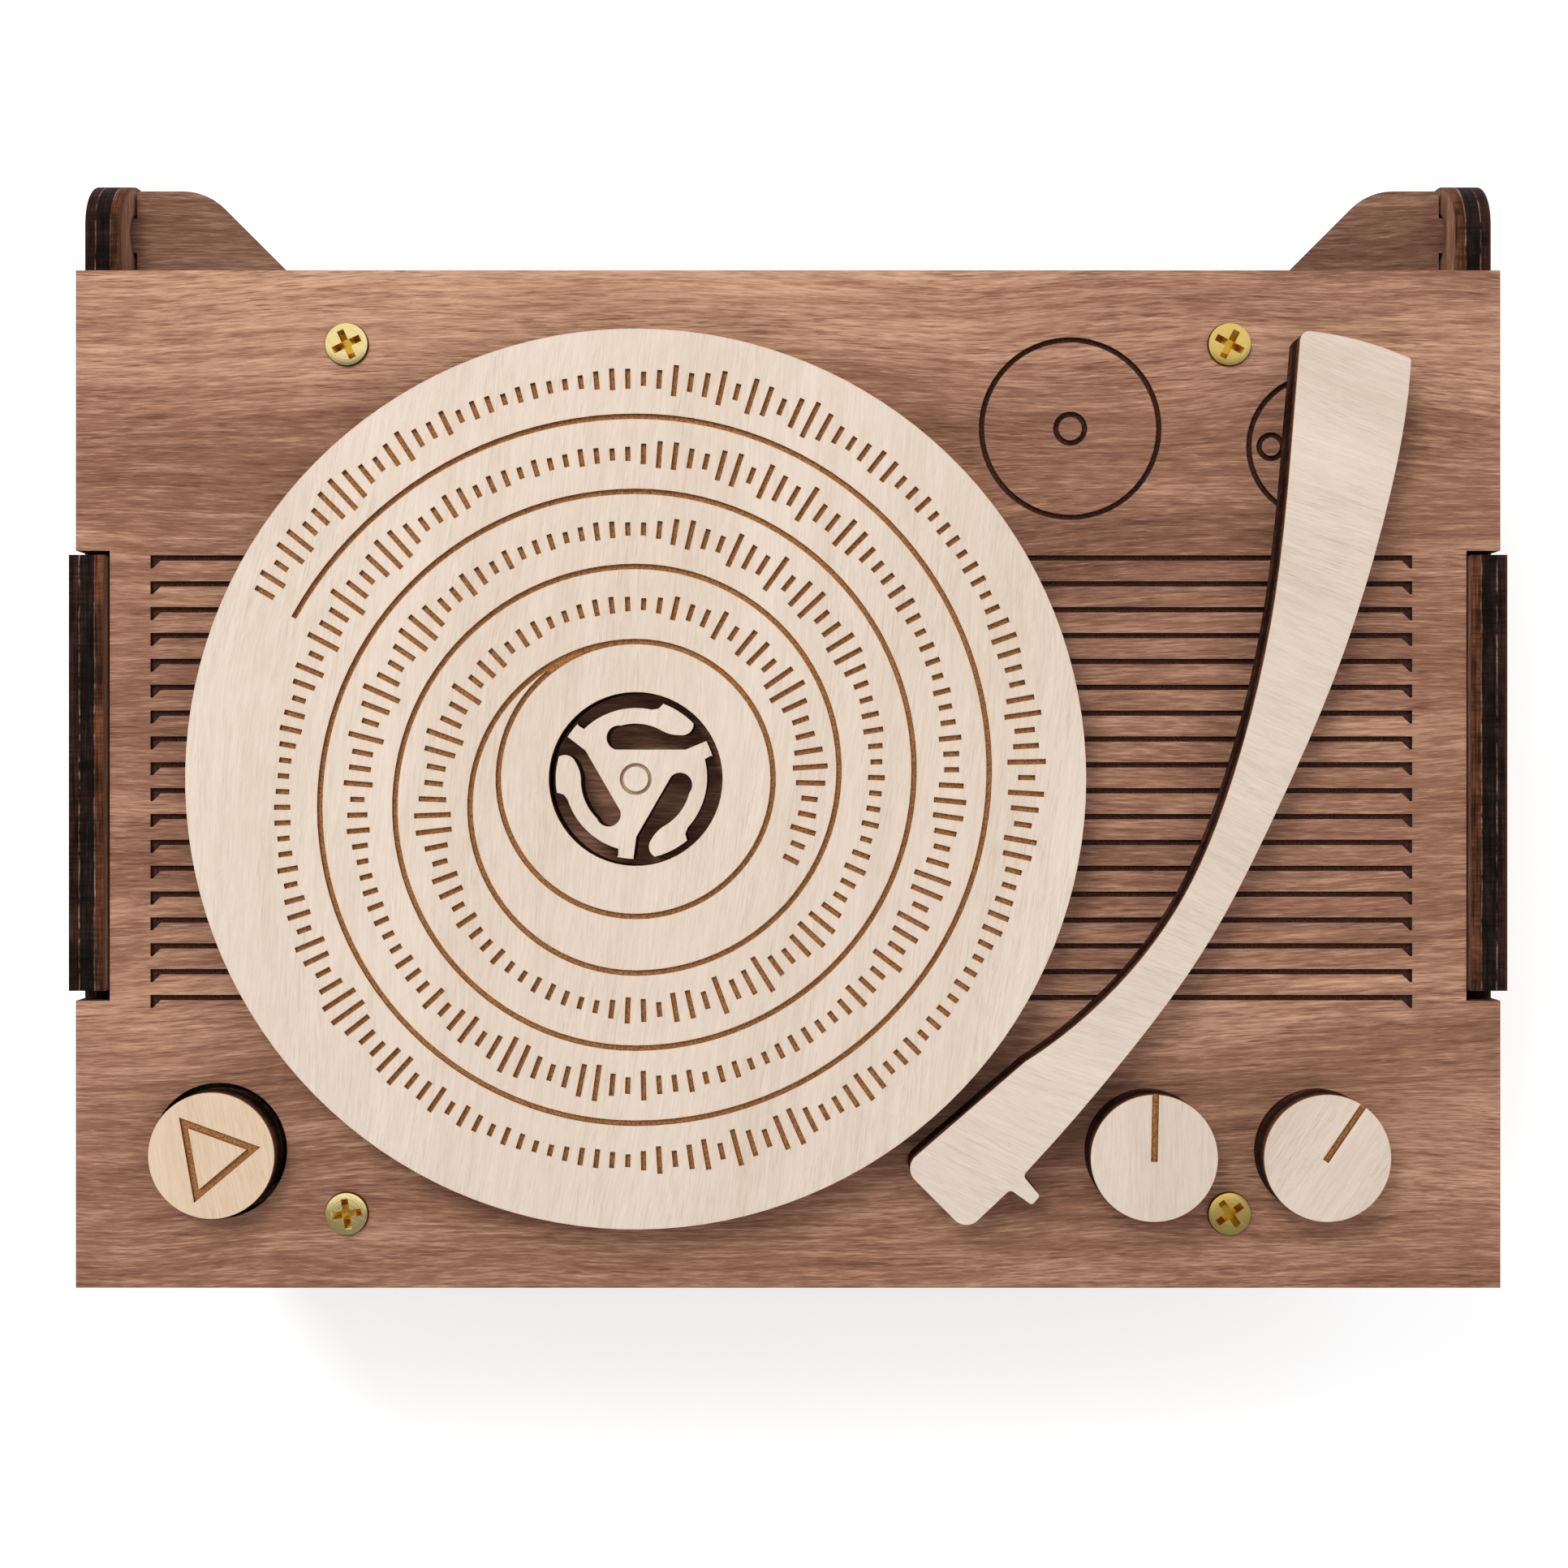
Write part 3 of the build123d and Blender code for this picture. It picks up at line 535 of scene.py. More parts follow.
@dataclass(frozen=True)
class PlywoodFinish:
    """The veneer, the charred edges and the burnt marks of one kind of plywood."""

    name: str
    body: Colour
    dark: Colour
    pale: Colour
    fleck: Colour
    bands: float
    streaks: float
    fibres: float
    pores: float
    flecks: float
    burn: Colour
    ash: Colour
    scorch: Colour
    lower_ply: Colour
    core_ply: Colour
    upper_ply: Colour
    glue: Colour
    rim: Colour
    rim_mm: float = 0.3
    cut_agreement: Range = (0.72, 0.99)
    bevel_samples: int = 6
    scratch_relief: float = 0.15
    roughness: Range = (0.6, 0.8)
    shine: float = 0.06
    fibre_depth_mm: float = 0.035

    def dress(self, sheet: PlySheet) -> None:
        """Makes the material for one sheet and puts it on its node.

        Args:
            sheet: Node, ply axis, grain direction and seed.
        """
        surface = Surface(f"{self.name}_{sheet.node}")
        graph = surface.graph
        low, high = (corner[sheet.axis.value[2]] * PER_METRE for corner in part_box(sheet.node))
        along, across, through = (graph.parts(surface.place)[i] for i in sheet.axis.value)
        facing = graph.parts(surface.coordinates.outputs["Normal"])[sheet.axis.value[2]]
        flat = graph.add("ShaderNodeCombineXYZ", {0: along, 1: across, 2: through}).outputs[0]
        turn = {"Vector": flat, "Angle": -math.radians(sheet.grain_deg)}
        turned = graph.add("ShaderNodeVectorRotate", turn, rotation_type="Z_AXIS").outputs[0]
        place = graph.shifted(turned, tuple(sheet.seed * step for step in SEED_STEPS_MM))

        on_face = graph.span(graph.math("ABSOLUTE", facing), *HALFWAY)
        from_top = graph.math("SUBTRACT", high, through)
        depth = graph.math("DIVIDE", graph.math("SUBTRACT", through, low), high - low)
        veneer = self._veneer(sheet, graph, place, flat)
        edge = self._edge(sheet, graph, place, depth)
        near_top = graph.span(from_top, 0.0, self.rim_mm, (1.0, 0.0))
        walled = graph.mix(near_top, edge.outputs["Color"], self.rim)
        marks = graph.place(burnt_mark_group(), {
            "Vector": place, "Below": graph.math("MULTIPLY", from_top, graph.span(facing, *HALFWAY)),
            "Burn": self.burn, "Ash": self.ash,
        })
        traces = graph.place(handling_group(), {"Vector": place})

        scorched = graph.mix(self._near_cut(sheet, graph), veneer.outputs["Color"], self.scorch)
        marked_share = graph.math("MULTIPLY", marks.outputs["Mask"], sheet.mark_strength)
        marked = graph.mix(marked_share, scorched, marks.outputs["Color"])
        face_height = graph.math(
            "MULTIPLY_ADD", traces.outputs["Scratch"], -self.scratch_relief, veneer.outputs["Height"]
        )
        heights = {0: on_face, 2: edge.outputs["Height"], 3: face_height}
        rough = graph.span(traces.outputs["Smudge"], *SMUDGE_RANGE, self.roughness)
        surface.set(Base_Color=graph.mix(on_face, walled, marked), Roughness=rough)
        surface.set(Specular_IOR_Level=self.shine)
        surface.bump(graph.add("ShaderNodeMix", heights).outputs[0], self.fibre_depth_mm)
        surface.dress(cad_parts[sheet.node])

    def _veneer(self, sheet: PlySheet, graph: Graph, place: Socket, flat: Socket) -> bpy.types.Node:
        """Places the face veneer.

        Args:
            sheet: Sheet to dress.
            graph: Graph to add the nodes to.
            place: Place in millimetres, with the grain along X.
            flat: Place on the sheet, before its grain is turned.

        Returns:
            The veneer group's node.
        """
        colours = {"Body": self.body, "Dark": self.dark, "Pale": self.pale, "Fleck": self.fleck}
        shaded = {name: tuple(part * sheet.shade for part in colour) for name, colour in colours.items()}
        return graph.place(veneer_group(), shaded | {
            "Vector": place, "Lift": self._lift(sheet, graph, flat), "Bands": self.bands,
            "Streaks": self.streaks, "Fibres": self.fibres, "Pores": self.pores, "Flecks": self.flecks,
        })

    def _edge(self, sheet: PlySheet, graph: Graph, place: Socket, depth: Socket) -> bpy.types.Node:
        """Places the cut edge, with the outer ply on the side that the sheet says.

        Args:
            sheet: Sheet to dress.
            graph: Graph to add the nodes to.
            place: Place in millimetres.
            depth: Depth through the sheet from 0 to 1.

        Returns:
            The edge group's node.
        """
        plies = (self.lower_ply, self.upper_ply)
        lower, upper = reversed(plies) if sheet.outer_high else plies
        return graph.place(cut_edge_group(), {
            "Vector": place, "Depth": depth, "Lower": lower, "Core": self.core_ply, "Upper": upper,
            "Glue": self.glue,
        })

    def _near_cut(self, sheet: PlySheet, graph: Graph) -> Socket:
        """Finds the faces next to a cut, where a rounded normal leaves the true one.

        Args:
            sheet: Sheet with the reach and the strength of its scorch.
            graph: Graph to add the nodes to.

        Returns:
            How much scorch shows.
        """
        reach = {"Radius": sheet.scorch_mm * MM}
        rounded = graph.add("ShaderNodeBevel", reach, samples=self.bevel_samples).outputs[0]
        true = graph.add("ShaderNodeNewGeometry").outputs["Normal"]
        agree = graph.add("ShaderNodeVectorMath", {0: rounded, 1: true}, operation="DOT_PRODUCT")
        return graph.span(agree.outputs["Value"], *self.cut_agreement, (sheet.scorch_share, 0.0))

    @staticmethod
    def _lift(sheet: PlySheet, graph: Graph, flat: Socket) -> Any:
        """Makes the bands of lighter sapwood on a sheet.

        Args:
            sheet: Sheet with its bands.
            graph: Graph to add the nodes to.
            flat: Place on the sheet.

        Returns:
            How much lighter the veneer is, or 0 for a sheet without bands.
        """
        lift: Any = 0.0
        along, across, _ = graph.parts(flat)
        for band in sheet.light_bands:
            wander = graph.noise(flat, replace(band.wave, start=(band.across_mm, 0.0, 0.0)))
            off_line = graph.math("SUBTRACT", across, band.across_mm + band.wave_mm / 2)
            wavy = graph.math("ABSOLUTE", graph.math("MULTIPLY_ADD", wander, band.wave_mm, off_line))
            near = graph.span(wavy, 0.0, band.reach_mm, (band.strength, 0.0))
            off_centre = graph.math("ABSOLUTE", graph.math("SUBTRACT", along, band.along_mm))
            fade = graph.span(off_centre, 0.0, band.half_length_mm, (1.0, 0.0))
            lift = graph.math("MULTIPLY_ADD", near, fade, lift)
        return lift


WALNUT = PlywoodFinish(
    name="walnut_ply",
    body=(0.285, 0.139, 0.089), dark=(0.105, 0.044, 0.028), pale=(0.60, 0.35, 0.228),
    fleck=(0.62, 0.385, 0.275), bands=1.1, streaks=0.8, fibres=1.3, pores=0.55, flecks=0.35,
    burn=(0.085, 0.037, 0.024), ash=(0.026, 0.012, 0.009), scorch=(0.095, 0.037, 0.021),
    lower_ply=(0.02, 0.0085, 0.0065), core_ply=(0.011, 0.0065, 0.005), upper_ply=(0.068, 0.025, 0.012),
    glue=(0.14, 0.085, 0.06), rim=(0.07, 0.027, 0.016),
)
PALE_PLY = PlywoodFinish(
    name="pale_ply",
    body=(0.70, 0.585, 0.49), dark=(0.565, 0.445, 0.355), pale=(0.80, 0.70, 0.605),
    fleck=(0.74, 0.57, 0.41), bands=0.8, streaks=0.5, fibres=1.0, pores=0.2, flecks=0.2,
    burn=(0.46, 0.215, 0.08), ash=(0.22, 0.085, 0.028), scorch=(0.62, 0.415, 0.225),
    lower_ply=(0.040, 0.016, 0.010), core_ply=(0.014, 0.007, 0.006), upper_ply=(0.055, 0.021, 0.012),
    glue=(0.08, 0.035, 0.02), rim=(0.26, 0.105, 0.045), rim_mm=0.6,
)
HUB_PLY = replace(PALE_PLY, name="hub_ply", rim=(0.42, 0.25, 0.12))
WARM_PLY = replace(
    PALE_PLY, name="warm_ply",
    body=(0.70, 0.535, 0.385), dark=(0.585, 0.42, 0.285), pale=(0.79, 0.65, 0.50),
    fleck=(0.75, 0.54, 0.33), scorch=(0.60, 0.36, 0.17),
)


# ---------------------------------------------------------------- other finishes
@dataclass(frozen=True)
class MetalFinish:
    """Bare or plated metal with smudges, fine scratches, and painted shade: a deeper, darker colour in
    its recesses.
    """

    name: str
    colour: Colour
    tarnish: Colour
    roughness: Range
    tarnish_range: Range = (0.2, 1.1)
    # Painted shade: colour of whatever lies deeper than recess_below_mm under the top, standing in for
    # the shade and warm bounce light in a screw's cross recess.
    recess_shade: Colour = (0.3, 0.3, 0.3)
    recess_below_mm: float | None = None
    recess_fade_mm: float = 0.08
    head_radius_mm: float = 0.0
    crown_mm: float = 0.16
    crown_power: float = 4.0
    rings: NoiseLayer = NoiseLayer((16.0, 1.0, 1.0), 1.0)
    ring_depth_mm: float = 0.02
    scratch_depth_mm: float = 0.006

    def dress(self, node: str) -> None:
        """Makes the material and puts it on a node.

        Args:
            node: Name of the CAD node.
        """
        surface = Surface(f"{self.name}_{node}")
        graph = surface.graph
        traces = graph.place(handling_group(), {"Vector": surface.place})
        spread = graph.span(traces.outputs["Smudge"], *self.tarnish_range)
        colour = graph.mix(spread, self.colour, self.tarnish)
        # Painted shade: below the heads' face the colour turns to the darker, deeper recess colour.
        if self.recess_below_mm is not None:
            height = graph.parts(surface.place)[2]
            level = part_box(node)[1].z * PER_METRE - self.recess_below_mm
            recess_shade_share = graph.span(height, level - self.recess_fade_mm, level, (1.0, 0.0))
            colour = graph.mix(recess_shade_share, colour, self.recess_shade)
        rough = graph.span(traces.outputs["Smudge"], *SMUDGE_RANGE, self.roughness)
        surface.set(Base_Color=colour, Roughness=rough, Metallic=1.0)
        height = graph.math("MULTIPLY", traces.outputs["Scratch"], self.scratch_depth_mm)
        if self.head_radius_mm:
            height = graph.math("ADD", height, self._crown(graph, surface.place, node))
        surface.bump(height, 1.0)
        surface.dress(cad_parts[node])

    def _crown(self, graph: Graph, place: Socket, node: str) -> Socket:
        """Makes the crowned, turned face of four screw heads that stand in a rectangle.

        Args:
            graph: Graph to add the nodes to.
            place: Place in millimetres.
            node: Name of the node that holds the four screws.

        Returns:
            Height of the face in millimetres.
        """
        low, high = (corner * PER_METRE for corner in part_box(node))
        from_middle = graph.shifted(place, tuple(-part for part in (low + high) / 2))
        quarter = graph.add("ShaderNodeVectorMath", {0: from_middle}, operation="ABSOLUTE").outputs[0]
        spot = (high - low) / 2
        spot_x, spot_y = spot.x - self.head_radius_mm, spot.y - self.head_radius_mm
        across, along, _ = graph.parts(graph.shifted(quarter, (-spot_x, -spot_y, 0.0)))
        square = graph.math("MULTIPLY_ADD", across, across, graph.math("MULTIPLY", along, along))
        radius = graph.math("DIVIDE", graph.math("SQRT", square), self.head_radius_mm)
        outward = graph.add("ShaderNodeCombineXYZ", {0: radius}).outputs[0]
        crown = graph.math("MULTIPLY", graph.math("POWER", radius, self.crown_power), -self.crown_mm)
        return graph.math("MULTIPLY_ADD", graph.noise(outward, self.rings), self.ring_depth_mm, crown)


@dataclass(frozen=True)
class MouldedFinish:
    """Moulded plastic, lacquer, foil or paper with a fine surface texture."""

    name: str
    colour: Colour
    second: Colour
    roughness: Range
    metallic: float = 0.0
    texture_per_mm: float = 6.0
    texture_depth_mm: float = 0.01
    texture_layers: float = 3.0
    spread_range: Range = (0.5, 1.5)
    scratch_relief: float = 0.4

    def surface(self, label: str) -> Surface:
        """Makes the material.

        Args:
            label: Name of the piece that wears it.

        Returns:
            The finished surface.
        """
        surface = Surface(f"{self.name}_{label}")
        graph = surface.graph
        traces = graph.place(handling_group(), {"Vector": surface.place})
        texture = graph.noise(surface.place, NoiseLayer((self.texture_per_mm,) * 3, self.texture_layers))
        spread = graph.span(graph.math("ADD", traces.outputs["Smudge"], texture), *self.spread_range)
        rough = graph.span(traces.outputs["Smudge"], *SMUDGE_RANGE, self.roughness)
        surface.set(Base_Color=graph.mix(spread, self.colour, self.second), Roughness=rough)
        surface.set(Metallic=self.metallic)
        height = graph.math("MULTIPLY_ADD", traces.outputs["Scratch"], -self.scratch_relief, texture)
        surface.bump(height, self.texture_depth_mm)
        return surface

    def dress(self, node: str) -> None:
        """Makes the material and puts it on a node.

        Args:
            node: Name of the CAD node.
        """
        self.surface(node).dress(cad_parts[node])


# Brass's recess colour is painted shade in the cross recesses of the screw heads.
BRASS = MetalFinish(
    "brass", (0.90, 0.74, 0.34), (0.74, 0.53, 0.15), (0.16, 0.34),
    recess_shade=(0.70, 0.40, 0.05), recess_below_mm=0.12, head_radius_mm=1.85,
)
ZINC = MetalFinish("zinc", (0.62, 0.63, 0.65), (0.46, 0.47, 0.49), (0.28, 0.5))
MAGNET = MetalFinish("magnet", (0.55, 0.55, 0.57), (0.42, 0.42, 0.44), (0.2, 0.4))
GREEN_MASK = MouldedFinish("board_lacquer", (0.012, 0.12, 0.045), (0.02, 0.17, 0.065), (0.25, 0.4))
BLACK_PLASTIC = MouldedFinish("black_plastic", (0.018, 0.018, 0.02), (0.035, 0.035, 0.038), (0.4, 0.6))
CELL_FOIL = MouldedFinish(
    "cell_foil", (0.62, 0.63, 0.65), (0.5, 0.51, 0.53), (0.3, 0.45),
    metallic=1.0, texture_per_mm=1.5, texture_depth_mm=0.03,
)
SPEAKER_FILM = MouldedFinish(
    "speaker_film", (0.05, 0.05, 0.055), (0.09, 0.09, 0.095), (0.3, 0.5),
    texture_per_mm=3.0, texture_depth_mm=0.02,
)
TIN = MouldedFinish("tin", (0.62, 0.62, 0.6), (0.5, 0.5, 0.49), (0.25, 0.4), metallic=1.0)
AMBER_TAPE = MouldedFinish("amber_tape", (0.55, 0.26, 0.02), (0.62, 0.33, 0.05), (0.2, 0.35))
RED_SLEEVE = MouldedFinish("red_sleeve", (0.45, 0.02, 0.015), (0.32, 0.012, 0.01), (0.35, 0.5))


# ---------------------------------------------------------------- sub-assemblies
class SubAssembly(ABC):
    """A part of the object that is built and dressed as one."""

    title: str

    def build(self) -> None:
        """Adds the meshes that the CAD model has no nodes for. Most parts have none."""

    @abstractmethod
    def dress(self) -> None:
        """Puts the finishes on."""

    def report(self, name: str) -> None:
        """Says in the log that a piece is finished.

        Args:
            name: Name of the piece.
        """
        log.info("%s: %s finished", self.title, name)


def dress_sheets(part: SubAssembly, finish: PlywoodFinish, sheets: Sequence[PlySheet]) -> None:
    """Dresses several sheets in one plywood.

    Args:
        part: Sub-assembly that the sheets belong to.
        finish: Plywood to use.
        sheets: The sheets.
    """
    for sheet in sheets:
        finish.dress(sheet)
        part.report(sheet.node)


@dataclass
class Box(SubAssembly):
    """The five finger-jointed walls that stand on the table."""

    title: str = "box"
    sheets: tuple[PlySheet, ...] = (
        PlySheet("bottom_panel", seed=1.0),
        PlySheet("front_panel", PlyAxis.Y, seed=2.0),
        PlySheet("back_panel", PlyAxis.Y, seed=3.0),
        PlySheet("left_side_panel", PlyAxis.X, seed=4.0, scorch_mm=1.1, scorch_share=0.9),
        PlySheet(
            "right_side_panel", PlyAxis.X, seed=5.0, scorch_mm=1.1, scorch_share=0.9, outer_high=True
        ),
    )

    def dress(self) -> None:
        """Dresses the walls in walnut plywood."""
        dress_sheets(self, WALNUT, self.sheets)


@dataclass
class Lid(SubAssembly):
    """The deck with its engraving, the layers under it, the hub and the brass screws."""

    title: str = "lid"
    sheets: tuple[PlySheet, ...] = (
        PlySheet("deck", seed=6.0, scorch_share=0.35, light_bands=(
            LightBand(across_mm=37.5, reach_mm=11.0, strength=0.3, along_mm=-6.0, half_length_mm=76.0),
            LightBand(across_mm=-46.0, reach_mm=7.0, strength=0.08, along_mm=-20.0, half_length_mm=90.0),
        )),
        PlySheet("hinge_panel", seed=21.0, shade=0.68),
        PlySheet("front_rail", seed=8.0),
        PlySheet("back_rail", seed=9.0),
        PlySheet("left_rail", grain_deg=90.0, seed=10.0),
        PlySheet("right_rail", grain_deg=90.0, seed=11.0),
    )
    hub: PlySheet = PlySheet("record_hub", grain_deg=84.0, seed=12.0, mark_strength=0.55)

    def dress(self) -> None:
        """Dresses the lid's layers, its hub and its screws."""
        dress_sheets(self, WALNUT, self.sheets)
        dress_sheets(self, HUB_PLY, [self.hub])
        BRASS.dress("lid_screws")
        self.report("lid_screws")


@dataclass
class Turntable(SubAssembly):
    """The record that lies loose round the hub."""

    title: str = "turntable"
    record: PlySheet = PlySheet("record", grain_deg=84.0, seed=13.0, scorch_mm=0.34, scorch_share=0.5)

    def dress(self) -> None:
        """Dresses the record in pale plywood."""
        dress_sheets(self, PALE_PLY, [self.record])


@dataclass
class Arm(SubAssembly):
    """The tonearm and its pivot screw."""

    title: str = "arm"
    arm: PlySheet = PlySheet("tonearm", grain_deg=-22.0, seed=14.0, shade=0.97)

    def dress(self) -> None:
        """Dresses the arm and its screw."""
        dress_sheets(self, PALE_PLY, [self.arm])
        ZINC.dress("tonearm_screw")
        self.report("tonearm_screw")


@dataclass
class Controls(SubAssembly):
    """The play button and the two knobs."""

    title: str = "controls"
    knobs: tuple[PlySheet, ...] = (
        PlySheet("left_knob", grain_deg=88.0, seed=15.0, shade=0.96),
        PlySheet("right_knob", grain_deg=55.0, seed=16.0, shade=0.96),
    )
    button: PlySheet = PlySheet("play_button", grain_deg=100.0, seed=17.0)

    def dress(self) -> None:
        """Dresses the knobs, the button and what they turn or press on."""
        dress_sheets(self, PALE_PLY, self.knobs)
        dress_sheets(self, WARM_PLY, [self.button])
        for node in ("left_knob_screw", "right_knob_screw"):
            ZINC.dress(node)
            self.report(node)
        BLACK_PLASTIC.dress("switch_plunger")
        self.report("switch_plunger")


@dataclass
class SoundModule(SubAssembly):
    """The board, switch, cell, speaker and leads between the lid's layers."""

    title: str = "sound module"
    finishes: tuple[tuple[str, MouldedFinish], ...] = (
        ("sound_board", GREEN_MASK),
        ("sound_chip", BLACK_PLASTIC),
        ("button_switch", BLACK_PLASTIC),
        ("pouch_cell", CELL_FOIL),
        ("speaker_shell", BLACK_PLASTIC),
        ("speaker_cone", SPEAKER_FILM),
        ("cell_leads", RED_SLEEVE),
        ("speaker_leads", RED_SLEEVE),
    )
    resistor_mm: Triple = (2.0, 1.2, 0.5)
    resistor_spots: tuple[Triple, ...] = (
        (11.0, 4.0, 0.0), (11.0, 6.5, 0.0), (11.0, 9.0, 0.0), (15.0, 4.0, 90.0), (19.0, 4.0, 0.0),
        (23.0, 4.0, 0.0), (4.0, 10.0, 90.0), (7.0, 10.0, 90.0), (12.5, 17.5, 0.0), (21.0, 17.0, 90.0),
    )
    cap_share: float = 0.22
    cap_rise: float = 1.08
    crystal_mm: Triple = (5.0, 2.2, 1.3)
    crystal_spot: Triple = (5.5, 16.5, 0.0)
    legs_each_side: int = 8
    leg_mm: Triple = (0.4, 1.1, 0.2)
    riser_mm: float = 0.6
    tape_mm: Triple = (12.0, 3.0, 0.06)
    tape_inset_mm: float = 1.2
    rounding_share: float = 0.18
    rounding_steps: int = 2

    def build(self) -> None:
        """Adds the small parts on the board, the chip's legs and the cell's tape."""
        bodies, ends = self._resistors()
        self._add("board_resistors", bodies, BLACK_PLASTIC, "black_plastic")
        self._add("board_tin_parts", [*ends, self._crystal()], TIN, "zinc_steel")
        self._add("chip_legs", self._legs(), TIN, "zinc_steel")
        self._add("cell_tape", [self._tape()], AMBER_TAPE, "cell_foil")

    @staticmethod
    def _on_board(u: float, v: float, height: float) -> Vector:
        """Finds the middle of a part that stands on the board.

        Args:
            u: Distance from the board's left edge, in millimetres.
            v: Distance from the board's front edge, in millimetres.
            height: Height of the part, in millimetres.

        Returns:
            The part's middle in metres.
        """
        low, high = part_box("sound_board")
        return Vector((low.x, low.y, high.z)) + Vector((u, v, height / 2)) * MM

    def _resistors(self) -> tuple[list[Block], list[Block]]:
        """Places the resistors' bodies and the tinned caps at their ends.

        Returns:
            The bodies, and the caps.
        """
        bodies, ends = [], []
        length, width, height = self.resistor_mm
        for u, v, turn in self.resistor_spots:
            spot = self._on_board(u, v, height)
            bodies.append((spot, (length * (1 - 2 * self.cap_share), width, height), turn))
            reach = Vector((length * (1 - self.cap_share) / 2, 0, 0)) * MM
            step = Matrix.Rotation(math.radians(turn), 3, "Z") @ reach
            cap = (length * self.cap_share, width, height * self.cap_rise)
            ends.extend((spot + side * step, cap, turn) for side in (-1, 1))
        return bodies, ends

    def _crystal(self) -> Block:
        """Places the crystal's tin can.

        Returns:
            Middle in metres, size in millimetres and turn in degrees.
        """
        u, v, turn = self.crystal_spot
        return self._on_board(u, v, self.crystal_mm[2]), self.crystal_mm, turn

    def _legs(self) -> list[Block]:
        """Places the feet and risers of the legs along both long sides of the chip.

        Returns:
            Middle in metres, size in millimetres and turn in degrees of each block.
        """
        low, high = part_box("sound_chip")
        wide, reach, thick = self.leg_mm
        riser = (wide, thick, self.riser_mm)
        legs = []
        for number in range(self.legs_each_side):
            x = low.x + (high.x - low.x) * (number + 0.5) / self.legs_each_side
            for edge, way in ((low.y, -1), (high.y, 1)):
                foot = Vector((x, edge + way * reach / 2 * MM, low.z + thick / 2 * MM))
                legs.append((foot, self.leg_mm, 0.0))
                riser_z = low.z + (thick + self.riser_mm) / 2 * MM
                legs.append((Vector((x, edge + way * thick / 2 * MM, riser_z)), riser, 0.0))
        return legs

    def _tape(self) -> Block:
        """Lays the insulating tape over the cell's edge where the leads leave it.

        Returns:
            Middle in metres, size in millimetres and turn in degrees.
        """
        low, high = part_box("pouch_cell")
        depth, thick = self.tape_mm[1:]
        from_edge = (depth / 2 + self.tape_inset_mm) * MM
        middle = Vector(((low.x + high.x) / 2, low.y + from_edge, high.z + thick / 2 * MM))
        return middle, self.tape_mm, 0.0

    def _add(self, name: str, blocks: Sequence[Block], finish: MouldedFinish, slot: str) -> None:
        """Makes one piece of small blocks with rounded edges and puts it in the lid.

        Args:
            name: Name of the piece.
            blocks: Middle in metres, size in millimetres and turn in degrees of each block.
            finish: Finish of the piece.
            slot: Not used.
        """
        shape = bmesh.new()
        for middle, size, turn in blocks:
            place = Matrix.Translation(middle) @ Matrix.Rotation(math.radians(turn), 4, "Z")
            place @= Matrix.Diagonal((*[part * MM for part in size], 1.0))
            made = bmesh.ops.create_cube(shape, size=1.0, matrix=place)
            edges = list(dict.fromkeys(edge for vertex in made["verts"] for edge in vertex.link_edges))
            bmesh.ops.bevel(
                shape, geom=edges, offset=min(size) * self.rounding_share * MM,
                segments=self.rounding_steps, profile=0.5, affect="EDGES",
            )
        mesh = bpy.data.meshes.new(name)
        shape.to_mesh(mesh)
        shape.free()
        piece = bpy.data.objects.new(name, mesh)
        bpy.context.scene.collection.objects.link(piece)
        finish.surface(name).dress(piece)
        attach(piece, "lid")
        self.report(name)

    def dress(self) -> None:
        """Dresses every node of the module."""
        for node, finish in self.finishes:
            finish.dress(node)
            self.report(node)
        MAGNET.dress("speaker_magnet")
        self.report("speaker_magnet")


# ---------------------------------------------------------------- studio
@dataclass(frozen=True)
class SquareLamp:
    """A square lamp that points at the deck, with its place and side in metres."""

    name: str
    place: Triple
    side: float
    watts: float
    colour: Colour


